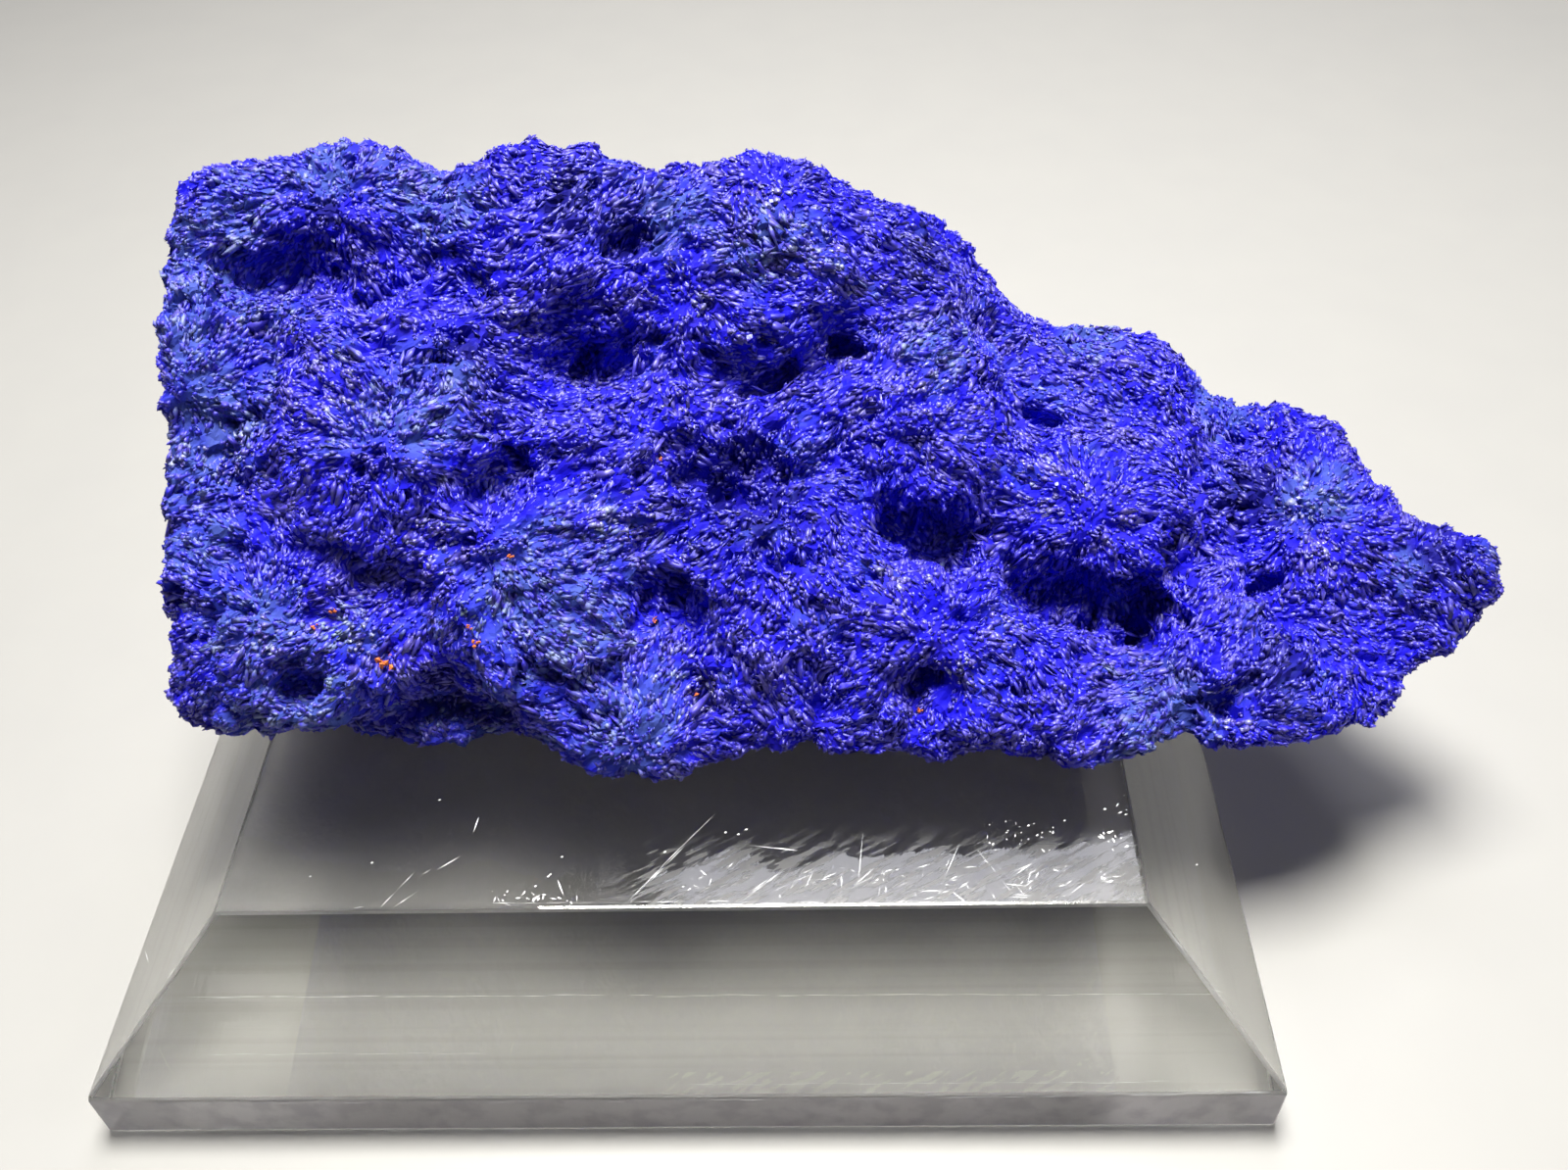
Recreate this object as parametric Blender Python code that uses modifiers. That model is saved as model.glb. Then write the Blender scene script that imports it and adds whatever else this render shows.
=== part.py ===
"""Azurite specimen on a clear acrylic display base.

The stone is one mass of grown-together azurite rosettes. It leans back on a
bevelled acrylic block with its crystal face turned up to the front.

Frame: metres, +Z up. The origin is the middle of the block's underside,
+X runs to the right along the block's width and +Y runs to the back.
"""

import math

import bpy
import bmesh
import numpy as np
from mathutils import Vector, noise

MM = 0.001
COLLECTION_NAME = "azurite_specimen"

# Display base, in millimetres
BASE_WIDTH = 90.0
BASE_DEPTH = 80.0
BASE_HEIGHT = 15.0
BASE_BEVEL = 10.0
EDGE_BREAK = 0.25
EDGE_BREAK_STEPS = 2

# The stone rests on the base with this gap between the two solids
REST_GAP = 0.3
REST_Z = BASE_HEIGHT + REST_GAP

# Cross sections of the stone from its broken left end to its tip, in millimetres.
# Each row is x, then (y, z) of the front rim, of the ridge and of the back
# shoulder, then the y of the foot's front and back, and the foot's z.
SECTIONS = (
    (-38.2, (-17.5, 21.5), (14.1, 53.0), (20.0, 43.0), -9.0, 15.0, 16.5),
    (-35.0, (-17.9, 22.8), (17.8, 50.6), (24.0, 41.0), -11.0, 18.0, REST_Z),
    (-28.0, (-18.9, 24.7), (18.5, 51.3), (25.5, 40.0), -12.0, 19.0, REST_Z),
    (-21.5, (-17.2, 27.6), (18.8, 51.6), (25.5, 39.0), -12.4, 19.7, REST_Z),
    (-17.0, (-17.0, 27.9), (17.9, 50.8), (25.6, 38.3), -12.6, 20.1, REST_Z),
    (-10.0, (-19.5, 23.9), (18.2, 51.5), (26.0, 37.0), -13.0, 20.5, REST_Z),
    (-5.5, (-20.1, 22.3), (17.8, 50.6), (26.0, 37.0), -13.4, 20.9, REST_Z),
    (-1.0, (-20.9, 20.9), (18.2, 50.8), (26.0, 36.2), -13.2, 21.0, REST_Z),
    (4.0, (-21.0, 21.6), (18.3, 50.3), (26.2, 35.0), -12.6, 21.0, REST_Z),
    (8.0, (-20.3, 22.8), (18.8, 49.6), (26.5, 34.5), -12.0, 21.0, REST_Z),
    (16.5, (-21.0, 21.7), (20.1, 46.7), (26.5, 33.0), -12.0, 21.0, REST_Z),
    (20.0, (-20.7, 21.4), (19.9, 43.7), (26.3, 31.6), -12.0, 21.0, REST_Z),
    (24.0, (-19.3, 21.9), (19.5, 40.5), (26.0, 30.0), -12.0, 21.0, REST_Z),
    (30.0, (-20.0, 20.6), (17.9, 33.8), (25.0, 26.5), -12.0, 20.0, REST_Z),
    (37.0, (-19.5, 19.7), (18.9, 32.2), (23.5, 24.5), -11.5, 18.5, REST_Z),
    (42.0, (-18.9, 19.3), (18.9, 31.8), (21.5, 23.0), -11.0, 17.0, 15.5),
    (46.0, (-18.0, 18.8), (15.6, 28.4), (20.0, 22.0), -10.0, 15.0, 15.8),
    (48.5, (-17.4, 18.1), (13.2, 26.4), (18.4, 21.8), -9.3, 13.4, 16.0),
    (51.5, (-15.9, 18.2), (15.5, 29.1), (16.5, 21.5), -8.5, 11.5, 16.2),
    (56.0, (-15.7, 15.9), (10.5, 28.1), (11.5, 21.0), -7.5, 7.0, 16.4),
    (60.0, (-11.8, 17.7), (2.5, 25.7), (4.8, 21.5), -6.5, 1.0, 17.0),
    (64.5, (-8.9, 21.5), (-1.6, 27.4), (-0.6, 23.5), -6.2, -3.0, 20.6),
)

# The left end bulges out bluntly, and the tip runs out beyond the last section
LEFT_END_BULGE = 2.5
LEFT_END_BLUNTNESS = 7
TIP_REACH = 4.5
TIP_BLUNTNESS = 1.5

# The crystal face swells this far out of the straight line from rim to ridge,
# at these two shares of the way up
FACE_BULGE = 2.2
FACE_LOW = 0.30
FACE_HIGH = 0.70

# The heel lies between the back shoulder and the foot, and the toe between the
# foot and the rim, at these shares of the way up
HEEL_SHARE = 0.27
HEEL_OUT = 2.0
TOE_SHARE = 0.42
TOE_DROP = 0.5

# Which corners of a section are the rim and the ridge
RIM_POINT = 0
RIDGE_POINT = 3

# Rosettes of the crystal face: x in millimetres, how far up the face from
# the rim (0) to the ridge (1), radius and height in millimetres.
FACE_ROSETTES = (
    (-29.0, 0.88, 9.5, 5.8),
    (-10.0, 0.80, 11.5, 6.0),
    (8.5, 0.80, 10.5, 6.0),
    (19.0, 0.79, 8.0, 5.0),
    (-23.0, 0.46, 12.5, 7.6),
    (0.0, 0.76, 8.0, 4.8),
    (-3.5, 0.47, 8.5, 5.0),
    (-10.0, 0.25, 10.5, 6.2),
    (7.5, 0.26, 10.0, 6.0),
    (21.5, 0.59, 10.0, 5.0),
    (34.5, 0.50, 9.0, 7.6),
    (19.5, 0.23, 9.5, 6.0),
    (37.5, 0.78, 9.5, 5.2),
    (53.0, 0.58, 10.0, 5.2),
    (46.5, 0.21, 10.0, 5.4),
    (-35.0, 0.63, 8.0, 5.2),
    (-34.0, 0.24, 9.0, 5.8),
    (-4.0, 0.03, 7.5, 6.0),
    (30.5, 0.13, 9.0, 5.4),
    (61.0, 0.50, 6.5, 4.2),
)

# Hollows between the rosettes: x, how far up the face, radius along the
# hollow and across it, its turn from the X axis in degrees, and its depth.
FACE_HOLLOWS = (
    (-30.0, 0.73, 4.6, 2.8, -25.0, 2.9),
    (-24.5, 0.68, 2.8, 1.8, -30.0, 2.1),
    (-16.5, 0.66, 3.2, 1.7, -10.0, 2.1),
    (-7.0, 0.61, 4.2, 2.8, -20.0, 3.9),
    (-3.5, 0.82, 2.4, 1.2, 30.0, 1.4),
    (7.0, 0.70, 2.6, 1.5, 0.0, 1.5),
    (13.5, 0.64, 3.4, 1.8, 10.0, 2.1),
    (7.5, 0.58, 3.2, 1.4, 0.0, 1.4),
    (5.0, 0.45, 5.2, 2.6, -20.0, 3.9),
    (10.5, 0.46, 2.2, 1.4, 20.0, 1.7),
    (0.0, 0.27, 3.4, 2.0, -35.0, 2.4),
    (20.5, 0.38, 4.4, 2.6, -15.0, 3.5),
    (31.0, 0.34, 5.4, 3.2, -25.0, 4.6),
    (36.0, 0.30, 4.4, 2.8, 20.0, 3.5),
    (40.5, 0.42, 3.4, 2.2, 60.0, 2.5),
    (46.5, 0.71, 2.4, 1.8, 0.0, 2.0),
    (46.5, 0.56, 2.6, 1.6, 0.0, 1.8),
    (47.5, 0.39, 2.6, 1.6, -10.0, 2.0),
    (18.5, 0.15, 2.6, 2.2, 0.0, 2.5),
    (11.0, 0.16, 1.8, 1.5, 0.0, 1.5),
    (43.0, 0.11, 2.2, 1.6, 0.0, 1.7),
    (-14.0, 0.36, 3.6, 1.5, 35.0, 1.8),
    (-33.0, 0.30, 4.0, 1.6, -25.0, 1.7),
    (-29.0, 0.10, 2.2, 1.6, 0.0, 1.7),
)

# Coarser knobs that cover the broken back, the underside and the left end
KNOB_SEED = 5
KNOB_TRIES = 1500
KNOB_SPACING = 7.5
KNOB_MARGIN = 0.2
KNOB_RADIUS = (6.5, 10.0)
KNOB_HEIGHT = (3.0, 4.6)
END_KNOB_TRIES = 200

# Weather has worn the rosettes and knobs down to this share of their full
# height, and the lofted skin lies this far under their tops
WORN_SHARE = 0.66
SKIN_DEPTH = 2.6
CREASE_SHARPNESS = 6.0
DOME_FULLNESS = 0.5

# The rosettes' places are bent by a slow noise, so that none is a true circle
WARP_SIZE = 7.0
WARP_REACH = 1.7

# Ledges and roughness over the whole stone
LEDGE_SIZE = 5.0
LEDGE_HEIGHT = 0.9
ROUGH_SIZE = 2.4
ROUGH_HEIGHT = 0.45

# Mesh fineness while shaping, and after the facets are reduced
ROWS = 200
COLUMNS = 180
CAP_ROWS = 18
CURVE_STEPS = 24
REMESH_SIZE = 0.55
STONE_TRIANGLES = 8000

AZURITE_COLOUR = (0.024, 0.009, 0.52, 1.0)
AZURITE_ROUGHNESS = 0.42
ACRYLIC_COLOUR = (0.93, 0.95, 0.94, 1.0)
ACRYLIC_ROUGHNESS = 0.04
ACRYLIC_IOR = 1.49


def clear_scene():
    """Remove every object that the open file holds."""
    for old in list(bpy.data.objects):
        bpy.data.objects.remove(old, do_unlink=True)


def plain_material(name, colour, roughness, transmission=0.0, ior=1.5):
    """Return a Principled material with one colour all over."""
    material = bpy.data.materials.new(name)
    material.use_nodes = True
    shader = material.node_tree.nodes["Principled BSDF"]
    shader.inputs["Base Color"].default_value = colour
    shader.inputs["Roughness"].default_value = roughness
    shader.inputs["Metallic"].default_value = 0.0
    shader.inputs["Transmission Weight"].default_value = transmission
    shader.inputs["IOR"].default_value = ior
    material.diffuse_color = colour
    return material


def add_part(name, mesh, material, collection):
    """Link a mesh into the part's collection as one named object."""
    part = bpy.data.objects.new(name, mesh)
    collection.objects.link(part)
    part.data.materials.append(material)
    return part


def make_base(collection):
    """A cube cut to size, its four top edges bevelled at 45 degrees."""
    bm = bmesh.new()
    bmesh.ops.create_cube(bm, size=1.0)
    size = Vector((BASE_WIDTH, BASE_DEPTH, BASE_HEIGHT)) * MM
    bmesh.ops.scale(bm, vec=size, verts=bm.verts)
    bmesh.ops.translate(bm, vec=(0.0, 0.0, BASE_HEIGHT * MM / 2), verts=bm.verts)
    middle = BASE_HEIGHT * MM / 2
    top_edges = [e for e in bm.edges if all(v.co.z > middle for v in e.verts)]
    bmesh.ops.bevel(
        bm,
        geom=top_edges,
        offset=BASE_BEVEL * MM,
        offset_type="OFFSET",
        segments=1,
        affect="EDGES",
    )
    mesh = bpy.data.meshes.new("display_base")
    bm.to_mesh(mesh)
    bm.free()
    acrylic = plain_material(
        "clear_acrylic", ACRYLIC_COLOUR, ACRYLIC_ROUGHNESS, transmission=1.0, ior=ACRYLIC_IOR
    )
    base = add_part("display_base", mesh, acrylic, collection)
    edge = base.modifiers.new("edge_break", "BEVEL")
    edge.width = EDGE_BREAK * MM
    edge.segments = EDGE_BREAK_STEPS
    edge.limit_method = "ANGLE"
    return base


def catmull_rom(before, start, end, after, t):
    """A smooth value between start and end, for t from 0 to 1."""
    return 0.5 * (
        2 * start
        + (end - before) * t
        + (2 * before - 5 * start + 4 * end - after) * t**2
        + (3 * start - before - 3 * end + after) * t**3
    )


def section_corners(row):
    """The nine corners of a cross section, as (y, z), from the rim over the ridge."""
    _, rim, ridge, back, foot_front, foot_back, foot_z = row
    rim = np.array(rim)
    ridge = np.array(ridge)
    back = np.array(back)
    foot_rear = np.array((foot_back, foot_z))
    foot_fore = np.array((foot_front, foot_z))
    along = ridge - rim
    outward = np.array((-along[1], along[0])) / np.linalg.norm(along)
    low_face = rim + FACE_LOW * along + FACE_BULGE * outward
    high_face = rim + FACE_HIGH * along + FACE_BULGE * outward
    heel = foot_rear + HEEL_SHARE * (back - foot_rear) + np.array((HEEL_OUT, 0.0))
    toe = foot_fore + TOE_SHARE * (rim - foot_fore) - np.array((0.0, TOE_DROP))
    return np.array([rim, low_face, high_face, ridge, back, heel, foot_rear, foot_fore, toe])


STATION_X = np.array([row[0] for row in SECTIONS])
STATION_CORNERS = np.array([section_corners(row) for row in SECTIONS])


def corners_at(x):
    """Section corners at any x, smooth between the stations."""
    last = len(STATION_X) - 1
    i = int(np.clip(np.searchsorted(STATION_X, x) - 1, 0, last - 1))
    t = (x - STATION_X[i]) / (STATION_X[i + 1] - STATION_X[i])
    before = STATION_CORNERS[max(i - 1, 0)]
    after = STATION_CORNERS[min(i + 2, last)]
    return catmull_rom(before, STATION_CORNERS[i], STATION_CORNERS[i + 1], after, t)


def curve_point(corners, t):
    """A point of the closed smooth curve through the corners, t counted in corners."""
    count = len(corners)
    i = int(math.floor(t)) % count
    picked = [corners[(i + k) % count] for k in (-1, 0, 1, 2)]
    return catmull_rom(*picked, t - math.floor(t))


def ring(corners, count):
    """The closed curve through the corners as evenly spaced points."""
    fine = CURVE_STEPS * len(corners)
    points = np.array([curve_point(corners, k * len(corners) / fine) for k in range(fine + 1)])
    steps = np.linalg.norm(np.diff(points, axis=0), axis=1)
    run = np.concatenate(([0.0], np.cumsum(steps)))
    wanted = np.linspace(0.0, run[-1], count, endpoint=False)
    return np.column_stack([np.interp(wanted, run, points[:, k]) for k in (0, 1)])


def face_point(x, up):
    """The point of the crystal face at x, up from the rim (0) to the ridge (1)."""
    y, z = curve_point(corners_at(x), RIM_POINT + up * (RIDGE_POINT - RIM_POINT))
    return np.array((x, y, z))


def stone_rows():
    """Rings of points from the left end to the tip, with the two end rings closing in."""
    first, last = STATION_X[0], STATION_X[-1]
    rows = []
    for k in range(1, CAP_ROWS):
        share = k / CAP_ROWS
        x = first - LEFT_END_BULGE * math.sqrt(1 - share**LEFT_END_BLUNTNESS)
        rows.append((x, corners_at(first), share))
    for x in np.linspace(first, last, ROWS):
        rows.append((x, corners_at(x), 1.0))
    for k in range(CAP_ROWS - 1, 0, -1):
        share = k / CAP_ROWS
        x = last + TIP_REACH * (1 - share**TIP_BLUNTNESS)
        rows.append((x, corners_at(last), share))
    rings = []
    for x, corners, share in rows:
        points = ring(corners, COLUMNS)
        centre = points.mean(axis=0)
        points = centre + share * (points - centre)
        rings.append(np.column_stack([np.full(COLUMNS, x), points]))
    return rings


def loft_mesh(rings):
    """Skin the rings with quads and close each end with a fan."""
    bm = bmesh.new()
    grid = [[bm.verts.new(Vector(p)) for p in points] for points in rings]
    for lower, upper in zip(grid, grid[1:]):
        for k in range(COLUMNS):
            n = (k + 1) % COLUMNS
            bm.faces.new((lower[k], lower[n], upper[n], upper[k]))
    for points, loop, flip in ((rings[0], grid[0], True), (rings[-1], grid[-1], False)):
        pole = bm.verts.new(Vector(points.mean(axis=0)))
        for k in range(COLUMNS):
            n = (k + 1) % COLUMNS
            corners = (loop[n], loop[k], pole) if flip else (loop[k], loop[n], pole)
            bm.faces.new(corners)
    bmesh.ops.recalc_face_normals(bm, faces=bm.faces)
    mesh = bpy.data.meshes.new("azurite")
    bm.to_mesh(mesh)
    bm.free()
    return mesh


def hidden_knobs():
    """Spaced knobs behind the ridge, under the rim and on the left end."""
    rng = np.random.default_rng(KNOB_SEED)
    corner_count = STATION_CORNERS.shape[1]
    places = []
    for _ in range(KNOB_TRIES):
        x = rng.uniform(STATION_X[0], STATION_X[-1])
        t = rng.uniform(RIDGE_POINT + KNOB_MARGIN, corner_count - KNOB_MARGIN)
        places.append(np.array((x, *curve_point(corners_at(x), t))))
    end_ring = ring(STATION_CORNERS[0], COLUMNS)
    end_centre = end_ring.mean(axis=0)
    for _ in range(END_KNOB_TRIES):
        edge = end_ring[rng.integers(COLUMNS)]
        y, z = end_centre + math.sqrt(rng.uniform()) * (edge - end_centre)
        places.append(np.array((STATION_X[0] - LEFT_END_BULGE, y, z)))
    knobs = []
    for place in places:
        if all(np.linalg.norm(place - other) > KNOB_SPACING for other, _, _ in knobs):
            knobs.append((place, rng.uniform(*KNOB_RADIUS), rng.uniform(*KNOB_HEIGHT)))
    return knobs


def knob_height(points, knobs):
    """Height of the knobs at each point, so that they meet in narrow creases."""
    total = np.zeros(len(points))
    for centre, radius, tall in knobs:
        share = np.linalg.norm(points - centre, axis=1) / radius
        dome = tall * np.clip(1 - share**2, 0, 1) ** DOME_FULLNESS
        total += dome**CREASE_SHARPNESS
    return total ** (1 / CREASE_SHARPNESS)


def face_axes(x, up, turn):
    """Unit axes along a hollow, across it and out of the face."""
    across = Vector(face_point(x + 1.0, up) - face_point(x - 1.0, up)).normalized()
    rising = Vector(face_point(x, up + 0.02) - face_point(x, up - 0.02)).normalized()
    outward = across.cross(rising).normalized()
    rising = outward.cross(across)
    angle = math.radians(turn)
    along = across * math.cos(angle) + rising * math.sin(angle)
    return along, outward.cross(along), outward


def hollow_depth(points, hollows):
    """Depth of the hollows at each point, steep at the edge and round inside."""
    depth = np.zeros(len(points))
    for x, up, long_radius, short_radius, turn, deep in hollows:
        offset = points - face_point(x, up)
        along, side, outward = face_axes(x, up, turn)
        share = np.sqrt(
            (offset @ along / long_radius) ** 2
            + (offset @ side / short_radius) ** 2
            + (offset @ outward / long_radius) ** 2
        )
        depth = np.maximum(depth, deep * np.exp(-(share**3)))
    return depth


def warped(point):
    """The point moved a little by a slow noise."""
    place = Vector(point)
    return np.array(place + WARP_REACH * noise.noise_vector(place / WARP_SIZE))


def ledges(point):
    """Stepped ledges and finer roughness, from two sizes of noise."""
    place = Vector(point)
    step = noise.ridged_multi_fractal(place / LEDGE_SIZE, 1.0, 2.0, 2, 1.0, 2.0)
    rough = noise.fractal(place / ROUGH_SIZE, 1.0, 2.0, 2)
    return LEDGE_HEIGHT * (step - 1.0) + ROUGH_HEIGHT * rough


def evaluated_mesh(part):
    """The part's mesh with its modifiers, in the part's own space."""
    graph = bpy.context.evaluated_depsgraph_get()
    graph.update()
    return part.evaluated_get(graph).data


def triangle_count(part):
    """How many triangles the part's evaluated mesh has."""
    return sum(len(face.vertices) - 2 for face in evaluated_mesh(part).polygons)


def make_stone(collection):
    """Loft the stone, raise its rosettes, sink its hollows and reduce its facets."""
    mesh = loft_mesh(stone_rows())
    count = len(mesh.vertices)
    flat = np.empty(count * 3)
    mesh.vertices.foreach_get("co", flat)
    points = flat.reshape(count, 3)
    flat_normals = np.empty(count * 3, dtype=np.float32)
    mesh.vertex_normals.foreach_get("vector", flat_normals)
    normals = flat_normals.reshape(count, 3).astype(float)

    rosettes = [(face_point(x, up), r, h) for x, up, r, h in FACE_ROSETTES]
    knobs = rosettes + hidden_knobs()
    bent = np.array([warped(p) for p in points])
    lift = WORN_SHARE * knob_height(bent, knobs) - hollow_depth(bent, FACE_HOLLOWS) - SKIN_DEPTH
    lift += np.array([ledges(p) for p in points])
    points = points + normals * lift[:, None]
    points[:, 2] = np.maximum(points[:, 2], REST_Z)
    mesh.vertices.foreach_set("co", (points * MM).ravel())
    mesh.update()

    azurite = plain_material("azurite", AZURITE_COLOUR, AZURITE_ROUGHNESS)
    stone = add_part("azurite", mesh, azurite, collection)
    fuse = stone.modifiers.new("fuse_folds", "REMESH")
    fuse.mode = "VOXEL"
    fuse.voxel_size = REMESH_SIZE * MM
    reduce = stone.modifiers.new("fewer_facets", "DECIMATE")
    reduce.decimate_type = "COLLAPSE"
    reduce.use_collapse_triangulate = True
    reduce.ratio = STONE_TRIANGLES / triangle_count(stone)
    lowest = min(v.co.z for v in evaluated_mesh(stone).vertices)
    stone.location.z = REST_Z * MM - lowest
    return stone


def main():
    clear_scene()
    collection = bpy.data.collections.new(COLLECTION_NAME)
    bpy.context.scene.collection.children.link(collection)
    make_base(collection)
    make_stone(collection)
    bpy.context.view_layer.update()


main()
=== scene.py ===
# %% [markdown]
# # An azurite specimen on a clear acrylic base
# Azurite is a deep blue copper mineral. Here it has grown as one lump of rosettes, and each rosette is a
# spray of blades about a millimetre long. The lump leans back on a low bevelled block of acrylic. The
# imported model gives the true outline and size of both. This lesson keeps the block and gives it a finish,
# and grows a crust of real blades where the plain stone stands.

# %% Load the frame and keep its box
import itertools
import math
import bpy
import numpy as np
from mathutils import Matrix, Quaternion, Vector
from mathutils.bvhtree import BVHTree
from mathutils.kdtree import KDTree


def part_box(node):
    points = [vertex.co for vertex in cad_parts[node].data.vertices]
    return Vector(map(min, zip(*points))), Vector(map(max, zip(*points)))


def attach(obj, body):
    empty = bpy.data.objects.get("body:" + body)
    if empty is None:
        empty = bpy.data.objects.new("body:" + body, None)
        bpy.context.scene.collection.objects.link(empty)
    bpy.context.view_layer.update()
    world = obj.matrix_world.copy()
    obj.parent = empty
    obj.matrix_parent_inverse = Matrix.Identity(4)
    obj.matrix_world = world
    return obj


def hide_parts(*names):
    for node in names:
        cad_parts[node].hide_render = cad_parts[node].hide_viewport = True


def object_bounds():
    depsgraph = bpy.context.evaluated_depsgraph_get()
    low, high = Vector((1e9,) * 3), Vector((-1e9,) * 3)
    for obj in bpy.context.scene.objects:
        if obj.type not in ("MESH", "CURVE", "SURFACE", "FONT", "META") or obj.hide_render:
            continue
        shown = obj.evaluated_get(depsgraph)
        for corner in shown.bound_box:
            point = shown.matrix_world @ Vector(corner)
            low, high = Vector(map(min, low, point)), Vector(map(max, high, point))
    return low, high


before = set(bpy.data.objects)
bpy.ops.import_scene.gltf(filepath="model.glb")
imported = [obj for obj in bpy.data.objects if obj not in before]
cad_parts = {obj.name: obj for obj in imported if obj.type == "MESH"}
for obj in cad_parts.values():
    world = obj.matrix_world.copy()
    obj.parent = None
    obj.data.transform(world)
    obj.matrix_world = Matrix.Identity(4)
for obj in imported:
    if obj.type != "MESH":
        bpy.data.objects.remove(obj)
cad_low, cad_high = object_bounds()
MM = 0.001
print("CAD box in mm:", [round(side / MM, 1) for side in cad_high - cad_low])

# %% [markdown]
# ## Helpers for colours and nodes
# Colours are read off as sRGB hex values, the way a paint chart gives them, but the renderer counts light
# linearly, so one function turns them over. A material is a small graph, and one more function adds a
# node with its settings and its links in a single call, which keeps each material short enough to read.
# The two settings named here belong to the nodes used most: a blend of two colours, and a step with soft
# ends.

# %% Colour and node helpers
COLOUR_MIX = {"data_type": "RGBA"}
SOFT_STEP = {"interpolation_type": "SMOOTHSTEP"}


def linear(hex_colour):
    """Linear RGBA of an sRGB colour such as 2A17C8."""
    channels = [int(hex_colour[i:i + 2], 16) / 255 for i in (0, 2, 4)]
    return [c / 12.92 if c <= 0.04045 else ((c + 0.055) / 1.055) ** 2.4 for c in channels] + [1.0]


def add(tree, kind, settings=None, **inputs):
    """One node. Settings are its own properties. An input is a value, or an output to link from."""
    node = tree.nodes.new(kind)
    for name, value in (settings or {}).items():
        setattr(node, name, value)
    for name, value in inputs.items():
        key = int(name[1:]) if name[0] == "_" else name.replace("_", " ")
        if isinstance(value, bpy.types.NodeSocket):
            tree.links.new(value, node.inputs[key])
        else:
            node.inputs[key].default_value = value
    return node


def start_material(name):
    """A fresh material, its node tree and its Principled shader."""
    material = bpy.data.materials.new(name)
    material.use_nodes = True
    return material, material.node_tree, material.node_tree.nodes["Principled BSDF"]


print("a deep azurite blue in linear light:", [round(c, 3) for c in linear("2A17C8")])

# %% [markdown]
# ## The camera
# A photograph's viewpoint can be worked out from a thing of known shape in it. Here that is the block,
# whose corners and parallel edges give the distance, the tilt and the lens. Every later step that reads a
# place off the photograph goes through this camera, so its numbers are named once. The lens is a plain
# one: no shift, and everything sharp.

# %% Camera
PHOTO_WIDTH, PHOTO_HEIGHT = 1600, 1194
FOCAL_PIXELS = 1521.2
EYE = Vector((11.69, -92.69, 109.83)) * MM
TILT_DOWN, TURN_LEFT, ROLL = (math.radians(angle) for angle in (44.326, 2.395, -2.597))
SENSOR_WIDTH = 36.0

forward = Vector((-math.sin(TURN_LEFT) * math.cos(TILT_DOWN), math.cos(TURN_LEFT) * math.cos(TILT_DOWN),
                  -math.sin(TILT_DOWN)))
level_right = Vector((math.cos(TURN_LEFT), math.sin(TURN_LEFT), 0))
level_up = level_right.cross(forward)
eye_right = level_right * math.cos(ROLL) + level_up * math.sin(ROLL)
eye_up = level_up * math.cos(ROLL) - level_right * math.sin(ROLL)

lens = bpy.data.cameras.new("camera")
lens.sensor_width = SENSOR_WIDTH
lens.lens = FOCAL_PIXELS / PHOTO_WIDTH * SENSOR_WIDTH
lens.clip_start = 1 * MM
camera = bpy.data.objects.new("camera", lens)
camera.matrix_world = Matrix.Translation(EYE) @ Matrix((eye_right, eye_up, -forward)).transposed().to_4x4()
bpy.context.scene.collection.objects.link(camera)
bpy.context.scene.camera = camera


def toward_pixel(across, down):
    """The direction in which the camera sees a pixel of the photograph."""
    sideways = (across - PHOTO_WIDTH / 2) / FOCAL_PIXELS
    upward = (PHOTO_HEIGHT / 2 - down) / FOCAL_PIXELS
    return (forward + eye_right * sideways + eye_up * upward).normalized()


print("lens:", round(lens.lens, 1), "mm, looking down by", round(math.degrees(TILT_DOWN), 1), "degrees")

# %% [markdown]
# ## The table
# The specimen stands on a pale smooth table. Its satin laminate spreads the light, with only the faintest
# sheen. It is painted darker than it looks, because the light is strong: a camera makes the same choice
# when it exposes for a dark stone. It ends a hair below the block, and that thin gap of air is what lets
# the acrylic's underside bend and mirror light as a real one does.

# %% Floor
AIR_GAP = 0.05 * MM
FLOOR_REACH = 3.0
SPECK_SPACING = 9 * MM

bpy.ops.mesh.primitive_grid_add(x_subdivisions=8, y_subdivisions=8, size=2 * FLOOR_REACH,
                                location=(0, 0, -AIR_GAP))
floor = bpy.context.object
floor.name = "table_top"

table, tree, shader = start_material("satin white laminate, moulded")
where = add(tree, "ShaderNodeTexCoord").outputs["Object"]
specks = add(tree, "ShaderNodeTexNoise", Vector=where, Scale=1 / SPECK_SPACING, Detail=4.0).outputs["Fac"]
paint = add(tree, "ShaderNodeMix", COLOUR_MIX,
            _0=specks, _6=linear("9D9C9A"), _7=linear("999897")).outputs[2]
tree.links.new(paint, shader.inputs["Base Color"])
shader.inputs["Roughness"].default_value = 0.45
shader.inputs["IOR"].default_value = 1.5
floor.data.materials.append(table)
print("floor", 2 * FLOOR_REACH, "m wide,", AIR_GAP / MM, "mm under the block")

# %% [markdown]
# ## The light
# A soft lamp hangs high up and a little behind the stone, and gives most of the light. A dimmer glow
# stands lower behind it. The block's polished top mirrors the glow towards the camera, and the glow is
# turned on its corner so that its mirror image rises in a slope. Two low fills from the sides keep the
# shadows from going black, and the room itself adds a little light from everywhere, brightest overhead.

# %% Soft boxes
LAMP_DISTANCE = 0.55
# Each row: name, turn and height in degrees, size in metres, watts, colour, spread and roll in degrees.
SOFT_BOXES = (
    ("lamp", 14, 80, 0.23, 1.76, "FFFDF6", 80, 0),
    ("glow", -8, 56.5, 0.20, 1.05, "F6F6FF", 180, 45),
    ("left_fill", 100, 28, 0.30, 0.25, "FFFFFF", 180, 0),
    ("right_fill", -104, 28, 0.35, 0.80, "FFFFFF", 180, 0),
)


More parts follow.
